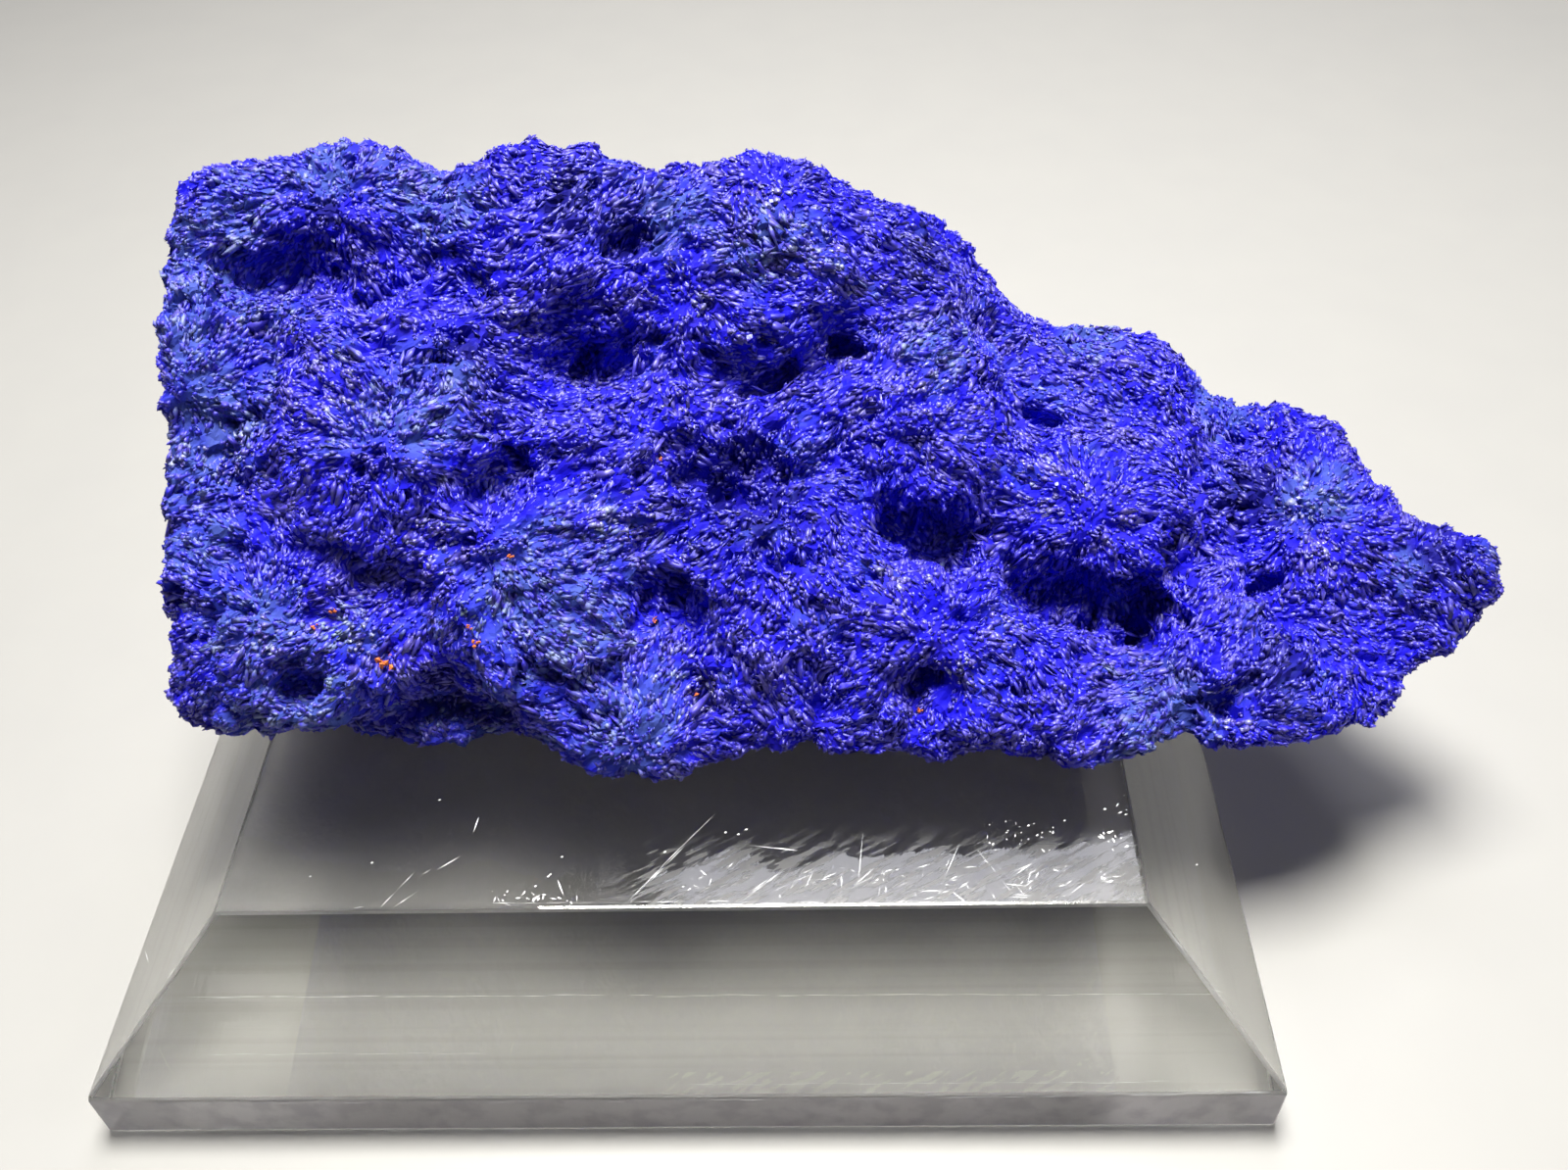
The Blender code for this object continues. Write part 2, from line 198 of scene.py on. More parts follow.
def soft_box(name, turn, height_angle, size, watts, colour, spread, roll):
    """A square area lamp that faces the object. Turn 0 is straight behind it, as the camera sees it."""
    light = bpy.data.lights.new(name, "AREA")
    light.shape = "SQUARE"
    light.size = size
    light.energy = watts
    light.spread = math.radians(spread)
    light.color = linear(colour)[:3]
    turn, height_angle = math.radians(turn), math.radians(height_angle)
    out = Vector((-math.sin(turn) * math.cos(height_angle), math.cos(turn) * math.cos(height_angle),
                  math.sin(height_angle)))
    holder = bpy.data.objects.new(name, light)
    holder.location = (cad_low + cad_high) / 2 + out * LAMP_DISTANCE
    rolled = out.to_track_quat("Z", "Y") @ Quaternion((0, 0, 1), math.radians(roll))
    holder.rotation_euler = rolled.to_euler()
    bpy.context.scene.collection.objects.link(holder)
    return holder


lamp = [soft_box(*row) for row in SOFT_BOXES][0]
print(len(SOFT_BOXES), "soft boxes,", LAMP_DISTANCE, "m from the stone")

# %% Light of the room
ROOM_LIGHT = 0.035

room = bpy.data.worlds.new("light room")
room.use_nodes = True
bpy.context.scene.world = room
tree = room.node_tree
ray = add(tree, "ShaderNodeTexCoord").outputs["Generated"]
height = add(tree, "ShaderNodeSeparateXYZ", Vector=ray).outputs["Z"]
overhead = add(tree, "ShaderNodeMapRange", SOFT_STEP,
               Value=height, From_Min=0.2, From_Max=0.85).outputs["Result"]
walls = add(tree, "ShaderNodeMix", COLOUR_MIX,
            _0=overhead, _6=linear("B9B6B2"), _7=linear("FFFFFF")).outputs[2]
tree.links.new(walls, tree.nodes["Background"].inputs["Color"])
tree.nodes["Background"].inputs["Strength"].default_value = ROOM_LIGHT
bpy.context.scene.view_settings.view_transform = "Standard"
print("room light", ROOM_LIGHT)

# %% [markdown]
# ## The acrylic block
# The block is cast acrylic, cut on a saw, with four bevels planed and polished on top. A cast sheet is
# clear all through, so its look comes from refraction, and its finish differs from face to face. A face's
# own direction tells them apart: the top lies flat, the bevels slope at 45 degrees, the girdle is
# upright, and the narrow faces between them are worn edges. One material serves the whole block, so each
# kind of face is a share from 0 to 1.

# %% Which face is which
ACRYLIC_IOR = 1.49
BEVEL_RISE, LOWER_EDGE_RISE, UPPER_EDGE_RISE = 0.707, 0.38, 0.87

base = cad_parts["display_base"]
block_low, block_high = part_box("display_base")
BLOCK_HEIGHT = round(block_high.z, 6)
acrylic, tree, shader = start_material("clear cast acrylic, sawn and polished")
shader.inputs["Transmission Weight"].default_value = 1.0
shader.inputs["IOR"].default_value = ACRYLIC_IOR
where = add(tree, "ShaderNodeTexCoord").outputs["Object"]
direction = add(tree, "ShaderNodeNewGeometry").outputs["True Normal"]
rise = add(tree, "ShaderNodeSeparateXYZ", Vector=direction).outputs["Z"]
steep = add(tree, "ShaderNodeMath", {"operation": "ABSOLUTE"}, _0=rise).outputs["Value"]
upright = add(tree, "ShaderNodeMapRange", Value=steep, From_Min=0.3, From_Max=0.1).outputs["Result"]
bevel = add(tree, "ShaderNodeMath", {"operation": "COMPARE"},
            _0=rise, _1=BEVEL_RISE, _2=0.06).outputs["Value"]
lower_edge = add(tree, "ShaderNodeMath", {"operation": "COMPARE"},
                 _0=rise, _1=LOWER_EDGE_RISE, _2=0.25).outputs["Value"]
upper_edge = add(tree, "ShaderNodeMath", {"operation": "COMPARE"},
                 _0=rise, _1=UPPER_EDGE_RISE, _2=0.09).outputs["Value"]
worn_edge = add(tree, "ShaderNodeMath", {"operation": "MAXIMUM"},
                _0=lower_edge, _1=upper_edge).outputs["Value"]
print("acrylic IOR", ACRYLIC_IOR)

# %% [markdown]
# ## Marks of the saw, the wheel and the cloth
# A saw leaves slanting marks on the girdle, a polishing wheel leaves fine level lines on the bevels, and
# wiping leaves drawn-out streaks on the top. Each is a noise that is stretched along its run, so its
# scale is the real width and length of one mark. The lines are drawn a little coarser than real ones, so
# that they still show in the render. The saw's heat also leaves a cloudy mottle a few millimetres wide.

# %% Saw marks, polish lines and streaks
SAW_MARK_SPACING, SAW_MARK_LENGTH, SAW_SLANT = 0.6 * MM, 6.25 * MM, math.radians(24)
POLISH_LINE_SPACING, POLISH_LINE_LENGTH = 0.45 * MM, 1 / 6
STREAK_LENGTH, STREAK_WIDTH, STREAK_TURN = 3.5 * MM, 0.6 * MM, math.radians(30)
CLOUD_SPACING = 2.5 * MM

mark_scale = (1 / SAW_MARK_SPACING, 1 / SAW_MARK_SPACING, 1 / SAW_MARK_LENGTH)
along_saw = add(tree, "ShaderNodeMapping",
                Vector=where, Rotation=(0, SAW_SLANT, 0), Scale=mark_scale).outputs["Vector"]
saw_marks = add(tree, "ShaderNodeTexNoise", Vector=along_saw, Scale=1.0, Detail=3.0).outputs["Fac"]
line_scale = (1 / POLISH_LINE_LENGTH, 1 / POLISH_LINE_LENGTH, 1 / POLISH_LINE_SPACING)
along_wheel = add(tree, "ShaderNodeMapping", Vector=where, Scale=line_scale).outputs["Vector"]
polish_lines = add(tree, "ShaderNodeTexNoise", Vector=along_wheel, Scale=1.0, Detail=3.0).outputs["Fac"]
along_cloth = add(tree, "ShaderNodeMapping", {"vector_type": "TEXTURE"}, Vector=where,
                  Rotation=(0, 0, STREAK_TURN), Scale=(STREAK_LENGTH, STREAK_WIDTH, 1)).outputs["Vector"]
streaks_on_top = add(tree, "ShaderNodeTexNoise", Vector=along_cloth, Scale=1.0, Detail=4.0).outputs["Fac"]
clouds = add(tree, "ShaderNodeTexNoise", Scale=1 / CLOUD_SPACING, Detail=4.0, Vector=where).outputs["Fac"]
print("polish lines every", POLISH_LINE_SPACING / MM, "mm")

# %% [markdown]
# ## Smears on the top
# The front of the top, from just left of its middle to the right, has been touched and wiped. Its smears
# break up the mirrored glow into streaks. The place on the block says where they are, with soft borders,
# and its height keeps them off the underside.

# %% Where the top is smeared
SMEARED_FROM, SMEARED_FULLY = -9 * MM, -3 * MM
FRONT_FROM, FRONT_FULLY = -21 * MM, -25 * MM

place = add(tree, "ShaderNodeSeparateXYZ", Vector=where).outputs
to_right = add(tree, "ShaderNodeMapRange", Value=place["X"],
               From_Min=SMEARED_FROM, From_Max=SMEARED_FULLY).outputs["Result"]
to_front = add(tree, "ShaderNodeMapRange", Value=place["Y"],
               From_Min=FRONT_FROM, From_Max=FRONT_FULLY).outputs["Result"]
handled = add(tree, "ShaderNodeMath", {"operation": "MULTIPLY"}, _0=to_right, _1=to_front).outputs["Value"]
flat_top = add(tree, "ShaderNodeMath", {"operation": "GREATER_THAN"},
               _0=place["Z"], _1=BLOCK_HEIGHT - 0.5 * MM).outputs["Value"]
handled = add(tree, "ShaderNodeMath", {"operation": "MULTIPLY"}, _0=handled, _1=flat_top).outputs["Value"]
streaked = add(tree, "ShaderNodeMapRange",
               Value=streaks_on_top, From_Min=0.47, From_Max=0.55).outputs["Result"]
smeared = add(tree, "ShaderNodeMath", {"operation": "MULTIPLY"}, _0=handled, _1=streaked).outputs["Value"]
print("smears start", round(-FRONT_FROM / MM), "mm in front of the middle")

# %% [markdown]
# ## Haze, tint and bump of the acrylic
# Polished acrylic is close to a mirror. The bevels have a faint haze along their lines, the smears are
# rougher, and the sawn girdle and the worn edges scatter the light and look grey. Roughness tells the eye
# most of this. A tint that is nearly white adds the grey of the girdle and the dim lines of the bevels,
# and a bump of two hundredths of a millimetre bends the light a little.

# %% Finish of the acrylic
POLISHED, SMEARY, SAWN, WORN = 0.015, 0.30, 0.42, 0.45
LEAST_HAZE, MOST_HAZE = 0.02, 0.06
MARK_DEPTH = 0.02 * MM

haze = add(tree, "ShaderNodeMapRange", Value=polish_lines, From_Min=0.35, From_Max=0.7,
           To_Min=LEAST_HAZE, To_Max=MOST_HAZE).outputs["Result"]
rough = add(tree, "ShaderNodeMix", _0=smeared, _2=POLISHED, _3=SMEARY).outputs[0]
rough = add(tree, "ShaderNodeMix", _0=bevel, _2=rough, _3=haze).outputs[0]
rough = add(tree, "ShaderNodeMix", _0=upright, _2=rough, _3=SAWN).outputs[0]
rough = add(tree, "ShaderNodeMix", _0=worn_edge, _2=rough, _3=WORN).outputs[0]
tree.links.new(rough, shader.inputs["Roughness"])
dim_lines = add(tree, "ShaderNodeMapRange",
                Value=polish_lines, From_Min=0.52, From_Max=0.66).outputs["Result"]
line_tint = add(tree, "ShaderNodeMix", COLOUR_MIX,
                _0=dim_lines, _6=linear("FFFFF8"), _7=linear("F4F4EC")).outputs[2]
cloudy = add(tree, "ShaderNodeMapRange", Value=clouds, From_Min=0.38, From_Max=0.56).outputs["Result"]
sawn_tint = add(tree, "ShaderNodeMix", COLOUR_MIX,
                _0=cloudy, _6=linear("D6CFD8"), _7=linear("FAF4FA")).outputs[2]
tint = add(tree, "ShaderNodeMix", COLOUR_MIX, _0=bevel, _6=linear("FEFEFD"), _7=line_tint).outputs[2]
tint = add(tree, "ShaderNodeMix", COLOUR_MIX, _0=upright, _6=tint, _7=sawn_tint).outputs[2]
tree.links.new(tint, shader.inputs["Base Color"])
grain = add(tree, "ShaderNodeMix", _0=smeared, _2=polish_lines, _3=streaks_on_top).outputs[0]
grain = add(tree, "ShaderNodeMix", _0=upright, _2=grain, _3=saw_marks).outputs[0]
bump = add(tree, "ShaderNodeBump", Strength=0.4, Distance=MARK_DEPTH, Height=grain).outputs["Normal"]
tree.links.new(bump, shader.inputs["Normal"])
base.data.materials[0] = acrylic
print("acrylic block:", [round(side / MM, 1) for side in block_high - block_low], "mm")

# %% [markdown]
# ## Noise for arrays of points
# Nature's unevenness is drawn with noise: a random number at each corner of a grid, blended smoothly in
# between. Blender has such a function for one point at a time. The crust has a hundred thousand points,
# so here it is once for a whole array, and the same seed gives the same stone each time.

# %% Noise helpers
def speckle(cells, seed):
    """A repeatable random number from -1 to 1 for each row of whole numbers."""
    mix = cells[..., 0] * 73856093 ^ cells[..., 1] * 19349663 ^ cells[..., 2] * 83492791
    mix = mix ^ (seed * 2654435761)
    mix = (mix ^ (mix >> 13)) * 1274126177
    mix = mix ^ (mix >> 16)
    return (mix & 0xFFFF) / 32767.5 - 1


def noise(points, size, seed=0):
    """Smooth noise from -1 to 1, whose lumps are about as wide as size, in metres."""
    cells = points / size
    corner = np.floor(cells).astype(np.int64)
    part = cells - corner
    part = part * part * (3 - 2 * part)
    total = np.zeros(len(points))
    for step in itertools.product((0, 1), repeat=3):
        weight = np.prod(np.where(step, part, 1 - part), axis=1)
        total += weight * speckle(corner + step, seed)
    return total


def unit(vectors):
    """The same directions with length 1."""
    return vectors / np.maximum(np.linalg.norm(vectors, axis=1, keepdims=True), 1e-9)


def lengths_along(vectors, directions):
    """How far each vector reaches along its own unit direction, as a column."""
    return np.einsum("ij,ij->i", vectors, directions)[:, None]


def mesh_points(mesh):
    """Places and normals of a mesh's vertices."""
    places, normals = np.zeros(len(mesh.vertices) * 3), np.zeros(len(mesh.vertices) * 3)
    mesh.vertices.foreach_get("co", places)
    mesh.vertices.foreach_get("normal", normals)
    return places.reshape(-1, 3), normals.reshape(-1, 3)


random = np.random.default_rng(11)
print("noise at three points:", noise(np.eye(3) * MM, 0.7 * MM).round(2))

# %% [markdown]
# ## The crust
# Under the free ends of the blades the stone is a solid crust of the same mineral, seen only as the dark
# ground between them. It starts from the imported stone, so it can't stray from the true form. A voxel
# remesh gives it small even faces, and a little smoothing takes the facets off.

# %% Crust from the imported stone
VOXEL = 0.45 * MM
SMOOTHING_PASSES = 9

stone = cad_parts["azurite"]
draft = bpy.data.objects.new("draft", stone.data.copy())
bpy.context.scene.collection.objects.link(draft)
weld = draft.modifiers.new("weld", "WELD")
weld.merge_threshold = 0.001 * MM
remesh = draft.modifiers.new("voxels", "REMESH")
remesh.mode, remesh.voxel_size = "VOXEL", VOXEL
smooth = draft.modifiers.new("smooth", "SMOOTH")
smooth.factor, smooth.iterations = 0.5, SMOOTHING_PASSES
draft_shown = draft.evaluated_get(bpy.context.evaluated_depsgraph_get())
crust_mesh = bpy.data.meshes.new_from_object(draft_shown)
bpy.data.objects.remove(draft)
crust_mesh.name = "azurite_crust"
places, normals = mesh_points(crust_mesh)
stone_tree = BVHTree.FromPolygons(places.tolist(), [tuple(face.vertices) for face in crust_mesh.polygons])
print("crust:", len(crust_mesh.vertices), "points,", len(crust_mesh.polygons), "faces")

# %% [markdown]
# ## Where the rosettes start
# Each rosette began at one point and grew outward, all its blades pointing away from the start. The
# starts are read off the photograph as pixels, and each is dropped on the stone along the camera's line
# of sight. The hidden sides get starts of their own, spread at random.

# %% Starts of the rosettes
SPRAY_STARTS = (
    (335, 200), (452, 335), (700, 300), (500, 560), (778, 500), (385, 455), (930, 430), (1115, 530),
    (1340, 520), (960, 650), (250, 640), (650, 770), (180, 400), (1250, 740), (1480, 560), (800, 190),
)
HIDDEN_SPACING = 13 * MM
eye = np.array(EYE)


def on_stone(across, down):
    """Where a pixel's line of sight meets the stone, or the stone's nearest point if it just misses."""
    sight = toward_pixel(across, down)
    distance = ((cad_low + cad_high) / 2 - EYE).length
    return np.array(stone_tree.ray_cast(EYE, sight)[0] or stone_tree.find_nearest(EYE + sight * distance)[0])


shown_starts = np.array([on_stone(*pixel) for pixel in SPRAY_STARTS])
hidden = places[np.einsum("ij,ij->i", normals, eye - places) < 0]
hidden_starts = []
for spot in random.permutation(hidden):
    if all(np.linalg.norm(spot - other) > HIDDEN_SPACING for other in [*shown_starts, *hidden_starts]):
        hidden_starts.append(spot)
starts = np.vstack([shown_starts, hidden_starts])
print(len(shown_starts), "starts read off the photograph,", len(hidden_starts), "on the hidden sides")

# %% [markdown]
# ## The run of the blades
# Between two starts the blades run side by side, and a rule alone would make that too even. So their run
# is also read off the photograph in thirty places, each as a pixel and an angle in degrees, turning up
# from level right. Near such a place the blades follow it, and elsewhere they point away from the nearest
# starts.

# %% The run of the blades at any point
COMBED = (
    (205, 180, 175), (225, 225, 235), (455, 300, -35), (545, 235, 40), (640, 190, 38), (600, 290, 36),
    (755, 240, -38), (865, 230, -36), (770, 400, 28), (850, 400, 35), (905, 325, 0), (950, 250, -26),
    (1100, 380, -46), (1185, 460, -60), (440, 590, 212), (210, 525, 182), (620, 515, 28), (600, 610, -24),
    (800, 570, -80), (735, 545, 215), (860, 545, -35), (1075, 660, -65), (1240, 630, 62), (1400, 640, -28),
    (1475, 600, -20), (240, 690, 185), (460, 690, -12), (330, 700, 200), (1150, 710, 30), (1265, 440, -40),
)
RUN_REACH = 4.5 * MM
COMBED_PULL, COMBED_LYING = 2.5, 1.5
CORE = 0.5 * MM

combed_spots = np.array([on_stone(*row[:2]) for row in COMBED])
combed_ways = np.array([eye_right * math.cos(angle) + eye_up * math.sin(angle)
                        for angle in (math.radians(row[2]) for row in COMBED)])


def growth(points, outward):
    """The way along the surface in which blades point, and how far away the nearest start counts as."""
    away = points[:, None] - starts[None]
    gap = np.linalg.norm(away, axis=2)
    pull = 1 / (gap + CORE) ** 4
    way = np.einsum("ij,ijk->ik", pull / pull.sum(axis=1, keepdims=True), away / (gap[..., None] + 1e-6))
    combed_gap = np.linalg.norm(points[:, None] - combed_spots[None], axis=2)
    hold = np.exp(-(combed_gap / RUN_REACH) ** 2)
    way = way + COMBED_PULL * hold @ combed_ways
    way = way - lengths_along(way, outward) * outward
    nearness = gap.min(axis=1) * (1 + COMBED_LYING * hold.max(axis=1))
    return unit(way + 1e-6), nearness


way, nearness = growth(places, normals)
print("runs worked out for", len(way), "points")

# %% [markdown]
# ## Bundles
# Within a rosette the blades grow in bundles a millimetre or so wide. Each bundle rises towards its free
# end and stands a little proud of the next, as reed does on a thatched roof, and the steps between them
# hold the shadows. The crust is raised to the highest of the bundles that pass over each of its points. A
# bundle stands nearly level at a start, and slopes more where its blades lie over.

# %% Places and slopes of the bundles
BUNDLE_SPACING = 1.6 * MM
BUNDLE_TURN = math.radians(10)
BUNDLE_UNEVEN = 0.25 * MM
BUNDLE_ROLL = 0.16
LEAN_REACH = 4.5 * MM


def one_per_cell(points, spacing):
    """Which points to keep so that each cell of a grid holds one."""
    kept = np.unique(np.floor(points / spacing).astype(np.int64), axis=0, return_index=True)[1]
    return random.permutation(kept)


def lying_share(nearness):
    """0 where blades stand upright, at a start, and 1 where they lie over."""
    share = np.clip(nearness / LEAN_REACH, 0, 1)
    return share * share * (3 - 2 * share)


def turned(vectors, axes, angles):
    """Vectors turned about unit axes that are square to them."""
    return vectors * np.cos(angles)[:, None] + np.cross(axes, vectors) * np.sin(angles)[:, None]


middles = one_per_cell(places, BUNDLE_SPACING)
bundle_at, bundle_out = places[middles], normals[middles]
bundle_way = turned(way[middles], bundle_out, random.normal(0, BUNDLE_TURN, len(middles)))
bundle_side = np.cross(bundle_out, bundle_way)
bundle_lying = lying_share(nearness[middles])
bundle_top = random.normal(0, BUNDLE_UNEVEN, len(middles))
bundle_roll = random.normal(0, BUNDLE_ROLL, len(middles))
print(len(middles), "bundles")

# %% The highest bundle over any point
BUNDLE_WIDTH = 1.4 * MM
BUNDLE_TIP = 1.2 * MM
BUNDLE_RISE, TIP_DROP = 0.34, 2.0
ROUND_ACROSS, ROUND_ALONG = 0.6, 0.12
NEIGHBOURS = 10

bundle_tree = KDTree(len(middles))
for number, spot in enumerate(bundle_at):
    bundle_tree.insert(spot, number)
bundle_tree.balance()


def bundles(points):
    """The height of the highest bundle over each point, and which bundle that is."""
    near = np.array([[found[1] for found in bundle_tree.find_n(point, NEIGHBOURS)] for point in points])
    away = points[:, None] - bundle_at[near]
    along = np.einsum("ijk,ijk->ij", away, bundle_way[near])
    aside = np.einsum("ijk,ijk->ij", away, bundle_side[near])
    height = (bundle_top[near] + bundle_lying[near] * BUNDLE_RISE * along
              - TIP_DROP * np.maximum(along - BUNDLE_TIP, 0) + bundle_roll[near] * aside
              - ROUND_ACROSS * aside ** 2 / BUNDLE_WIDTH - ROUND_ALONG * along ** 2 / BUNDLE_TIP)
    best = height.argmax(axis=1)
    each = np.arange(len(points))
    return height[each, best], near[each, best]


step_height, step_bundle = bundles(places)
print("steps between bundles:", (step_height.std() / MM).round(2), "mm on average")

# %% [markdown]
# ## Caves between the rosettes
# Where two rosettes haven't quite met, a dark cave is left between them. Each is read off the photograph
# as an ellipse, and noise makes its edge ragged. Only points that face the camera are sunk, so that a
# cave doesn't go on through to the back.

# %% Caves between the rosettes
# Each row: middle, half length and half width in pixels, tilt in degrees and depth in millimetres.
CAVES = (
    (290, 268, 54, 28, 8, 0.8), (365, 315, 14, 12, 0, 1.6), (470, 338, 22, 9, 0, 1.6),
    (640, 245, 32, 14, 45, 1.8), (600, 370, 28, 11, 60, 1.8), (782, 390, 36, 10, 18, 1.8),
    (862, 355, 26, 10, -15, 1.5), (1055, 425, 30, 12, 0, 1.6), (955, 545, 58, 26, -12, 2.6),
    (990, 566, 22, 14, 0, 1.6), (1127, 615, 78, 32, -8, 2.6), (1200, 566, 16, 26, 0, 1.8),
    (363, 477, 8, 9, 0, 1.2), (410, 509, 10, 8, 0, 1.2), (948, 694, 19, 13, 35, 1.5),
    (1293, 598, 24, 10, 12, 1.3), (1270, 515, 11, 15, 0, 1.1), (1262, 455, 20, 8, -30, 1.1),
    (530, 470, 16, 30, 10, 1.6), (690, 600, 19, 12, -30, 1.4), (300, 705, 20, 11, 20, 1.0),
    (560, 690, 36, 12, -20, 1.2), (1240, 720, 26, 12, -10, 1.6), (755, 508, 56, 13, -18, 1.5),
    (700, 486, 16, 14, 0, 1.1), (1262, 540, 12, 20, 20, 1.2),
)
CAVE_EDGE = 1.1 * MM
CAVE_BORDER, CAVE_SLOPE = 1.15, 0.55


def pixel_of(points):
    """Where the camera sees each point, in pixels of the photograph."""
    away = points - eye
    depth = away @ np.array(forward)
    return (PHOTO_WIDTH / 2 + FOCAL_PIXELS * (away @ np.array(eye_right)) / depth,
            PHOTO_HEIGHT / 2 - FOCAL_PIXELS * (away @ np.array(eye_up)) / depth)


def cave_depth(points, outward):
    """How deep the ragged caves sink each point that faces the camera, in metres."""
    across_px, down_px = pixel_of(points)
    shown = np.clip(3 * np.einsum("ij,ij->i", unit(eye - points), outward), 0, 1)
    ragged = (0.25 * noise(points, 2.6 * CAVE_EDGE, 63) + 0.45 * noise(points, CAVE_EDGE, 61)
              + 0.3 * noise(points, 0.5 * CAVE_EDGE, 62))
    deepest = np.zeros(len(points))
    for centre_px, level_px, long_px, short_px, tilt, depth in CAVES:
        right, up = across_px - centre_px, level_px - down_px
        slant = math.radians(tilt)
        gap = np.hypot((right * math.cos(slant) + up * math.sin(slant)) / long_px,
                       (up * math.cos(slant) - right * math.sin(slant)) / short_px)
        hole = np.clip((CAVE_BORDER - gap + ragged) / CAVE_SLOPE, 0, 1)
        deepest = np.maximum(deepest, depth * MM * hole * hole * (3 - 2 * hole))
    return deepest * shown


sunk = cave_depth(places, normals)
print("caves take in", (sunk > 0.5 * MM).sum(), "points")

# %% [markdown]
# ## Rows, and patches with ragged edges
# The blades of a bundle stand in rows along their run, like the straws of a thatch. Noise that is
# averaged along the run draws such rows. Some things happen in patches: here the open sprays, where the
# blades stand apart, and later the weathering. A patch is a place and a reach, and noise gives it a
# ragged edge.

# %% Rows along the run
ROW_WIDTH = 0.42 * MM
STREAK_STEPS, STREAK_STEP, STREAK_CALM = range(-5, 6), 0.7, 4.2


def streaks(points, way, width, seed):
    """Noise drawn out along the run of the blades."""
    total = np.zeros(len(points))
    for step in STREAK_STEPS:
        total += noise(points + way * (step * STREAK_STEP * width), width, seed)
    return total / STREAK_CALM


def rows_at(points, way):
    """Rows along the run of the blades, from below -1 in the gaps to about 1 on the ridges."""
    fine, broad = streaks(points, way, ROW_WIDTH, 3), streaks(points, way, 2.2 * ROW_WIDTH, 4)
    return np.clip(fine + 0.6 * broad, -1.8, 1.2)


rows = rows_at(places, bundle_way[step_bundle])
print("rows range from", rows.min().round(2), "to", rows.max().round(2))

# %% Open sprays
# Each row: a pixel and a reach in millimetres.
OPEN_SPRAYS = (
    (760, 520, 6.0), (1280, 500, 5.0), (1470, 570, 5.0), (480, 375, 4.5), (1205, 715, 4.0),
    (940, 255, 3.5), (580, 205, 3.5), (650, 240, 3.5), (1300, 680, 4.0), (330, 210, 2.5),
)
PATCH_EDGE = 1.6 * MM


def patches(points, spots, seed):
    """How deep each point lies in the listed patches, with ragged edges, from 0 to 1."""
    # A patch stays within 1.3 times its reach, and inside that the noise moves its border in and out.
    depth = np.zeros(len(points))
    for across_px, down_px, radius in spots:
        gap = np.linalg.norm(points - on_stone(across_px, down_px), axis=1)
        depth = np.maximum(depth, np.clip(1.3 - gap / (radius * MM), 0, 1))
    ragged = noise(points, PATCH_EDGE, seed) + 0.6 * noise(points, 0.5 * PATCH_EDGE, seed + 1)
    return np.clip(depth * 1.25 + ragged * 0.55 * (depth > 0) - 0.25, 0, 1)


# This share also paints shade into the crust's colour later, as painted shade; the slits it cuts are real
# relief.
ground_shade = patches(places, OPEN_SPRAYS, 71)
print("open sprays cover", (ground_shade > 0.5).mean().round(2), "of the crust")

# %% [markdown]
# ## Relief of the crust
# Now the crust gets its relief, along its own normals: the steps of the bundles, the rows, soft lumps and
# ragged pits. In the open sprays it is slit deep between the rows, and the caves are sunk. Then it is let
# down a little, so that the free ends of the blades reach about as far as the stone's surface. In a few
# places the real outline stands further out than the plain stone's, so the crust is filled out there.
# Nothing grows into the acrylic, so over the block everything is kept a hair above its polished top.

# %% Kept above the block
CLEARANCE = 0.08 * MM
TOP_BEVEL = 10 * MM
top_low, top_high = block_low + Vector((1, 1, 0)) * TOP_BEVEL, block_high - Vector((1, 1, 0)) * TOP_BEVEL


def above_block(points):
    """The same points, kept a hair above the block's flat top where they stand over it."""
    over = ((points[..., 0] > top_low.x) & (points[..., 0] < top_high.x)
            & (points[..., 1] > top_low.y) & (points[..., 1] < top_high.y))
    kept = points.copy()
    kept[..., 2] = np.where(over, np.maximum(points[..., 2], BLOCK_HEIGHT + CLEARANCE), points[..., 2])
    return kept


print("flat top of the block:", [round(side / MM, 1) for side in (top_high - top_low)[:2]], "mm")

# %% Relief of the crust
ROW_HEIGHT, LUMP_HEIGHT, PIT_DEPTH, SLIT_DEPTH = 0.19 * MM, 0.2 * MM, 2.5 * MM, 0.6 * MM
LET_DOWN = 0.30 * MM
CRUMBLE = 0.05 * MM
GROUND_TONE = 0.30
# Each row: a pixel, reach and rise in millimetres, and 1 to rise outward as well as toward the eye.
FILLED_OUT = (
    (1248, 424, 2.4, 2.2, 1), (925, 222, 2.2, 1.2, 1), (360, 742, 3.5, 2.4, 0),
    (410, 748, 3.8, 3.2, 0), (460, 750, 3.8, 3.2, 0), (515, 752, 3.5, 2.8, 0),
)

lumps = noise(places, 3.4 * MM, 5) + 0.5 * noise(places, 1.5 * MM, 6)
pits = np.clip(noise(places, 2.2 * MM, 7) + 0.5 * noise(places, 0.9 * MM, 8) - 0.62, 0, 0.5)
slits = SLIT_DEPTH * ground_shade * np.clip(-rows, 0, 1.2)
lift = step_height + ROW_HEIGHT * rows + LUMP_HEIGHT * lumps - PIT_DEPTH * pits - slits - sunk
# Painted light and shade: the ground's tone is lighter on the rows' ridges and darker in their gaps; the
# noise terms are random tone.
ground_tone = (GROUND_TONE + 0.35 * rows
               + 0.25 * noise(places, 1.1 * MM, 43) + 0.15 * noise(places, 2.8 * MM, 44))
for across_px, down_px, radius, rise, outward_part in FILLED_OUT:
    gap = np.linalg.norm(places - on_stone(across_px, down_px), axis=1) / (radius * MM)
    forward_out = unit(outward_part * normals + unit(eye - places))
    places = places + forward_out * (rise * MM * np.exp(-gap ** 2))[:, None]
places = places + normals * (lift - LET_DOWN)[:, None] + random.normal(0, CRUMBLE, places.shape)
places = above_block(places)
crust_mesh.vertices.foreach_set("co", places.ravel())
crust_mesh.update()
crust_tree = BVHTree.FromPolygons(places.tolist(), [tuple(face.vertices) for face in crust_mesh.polygons])
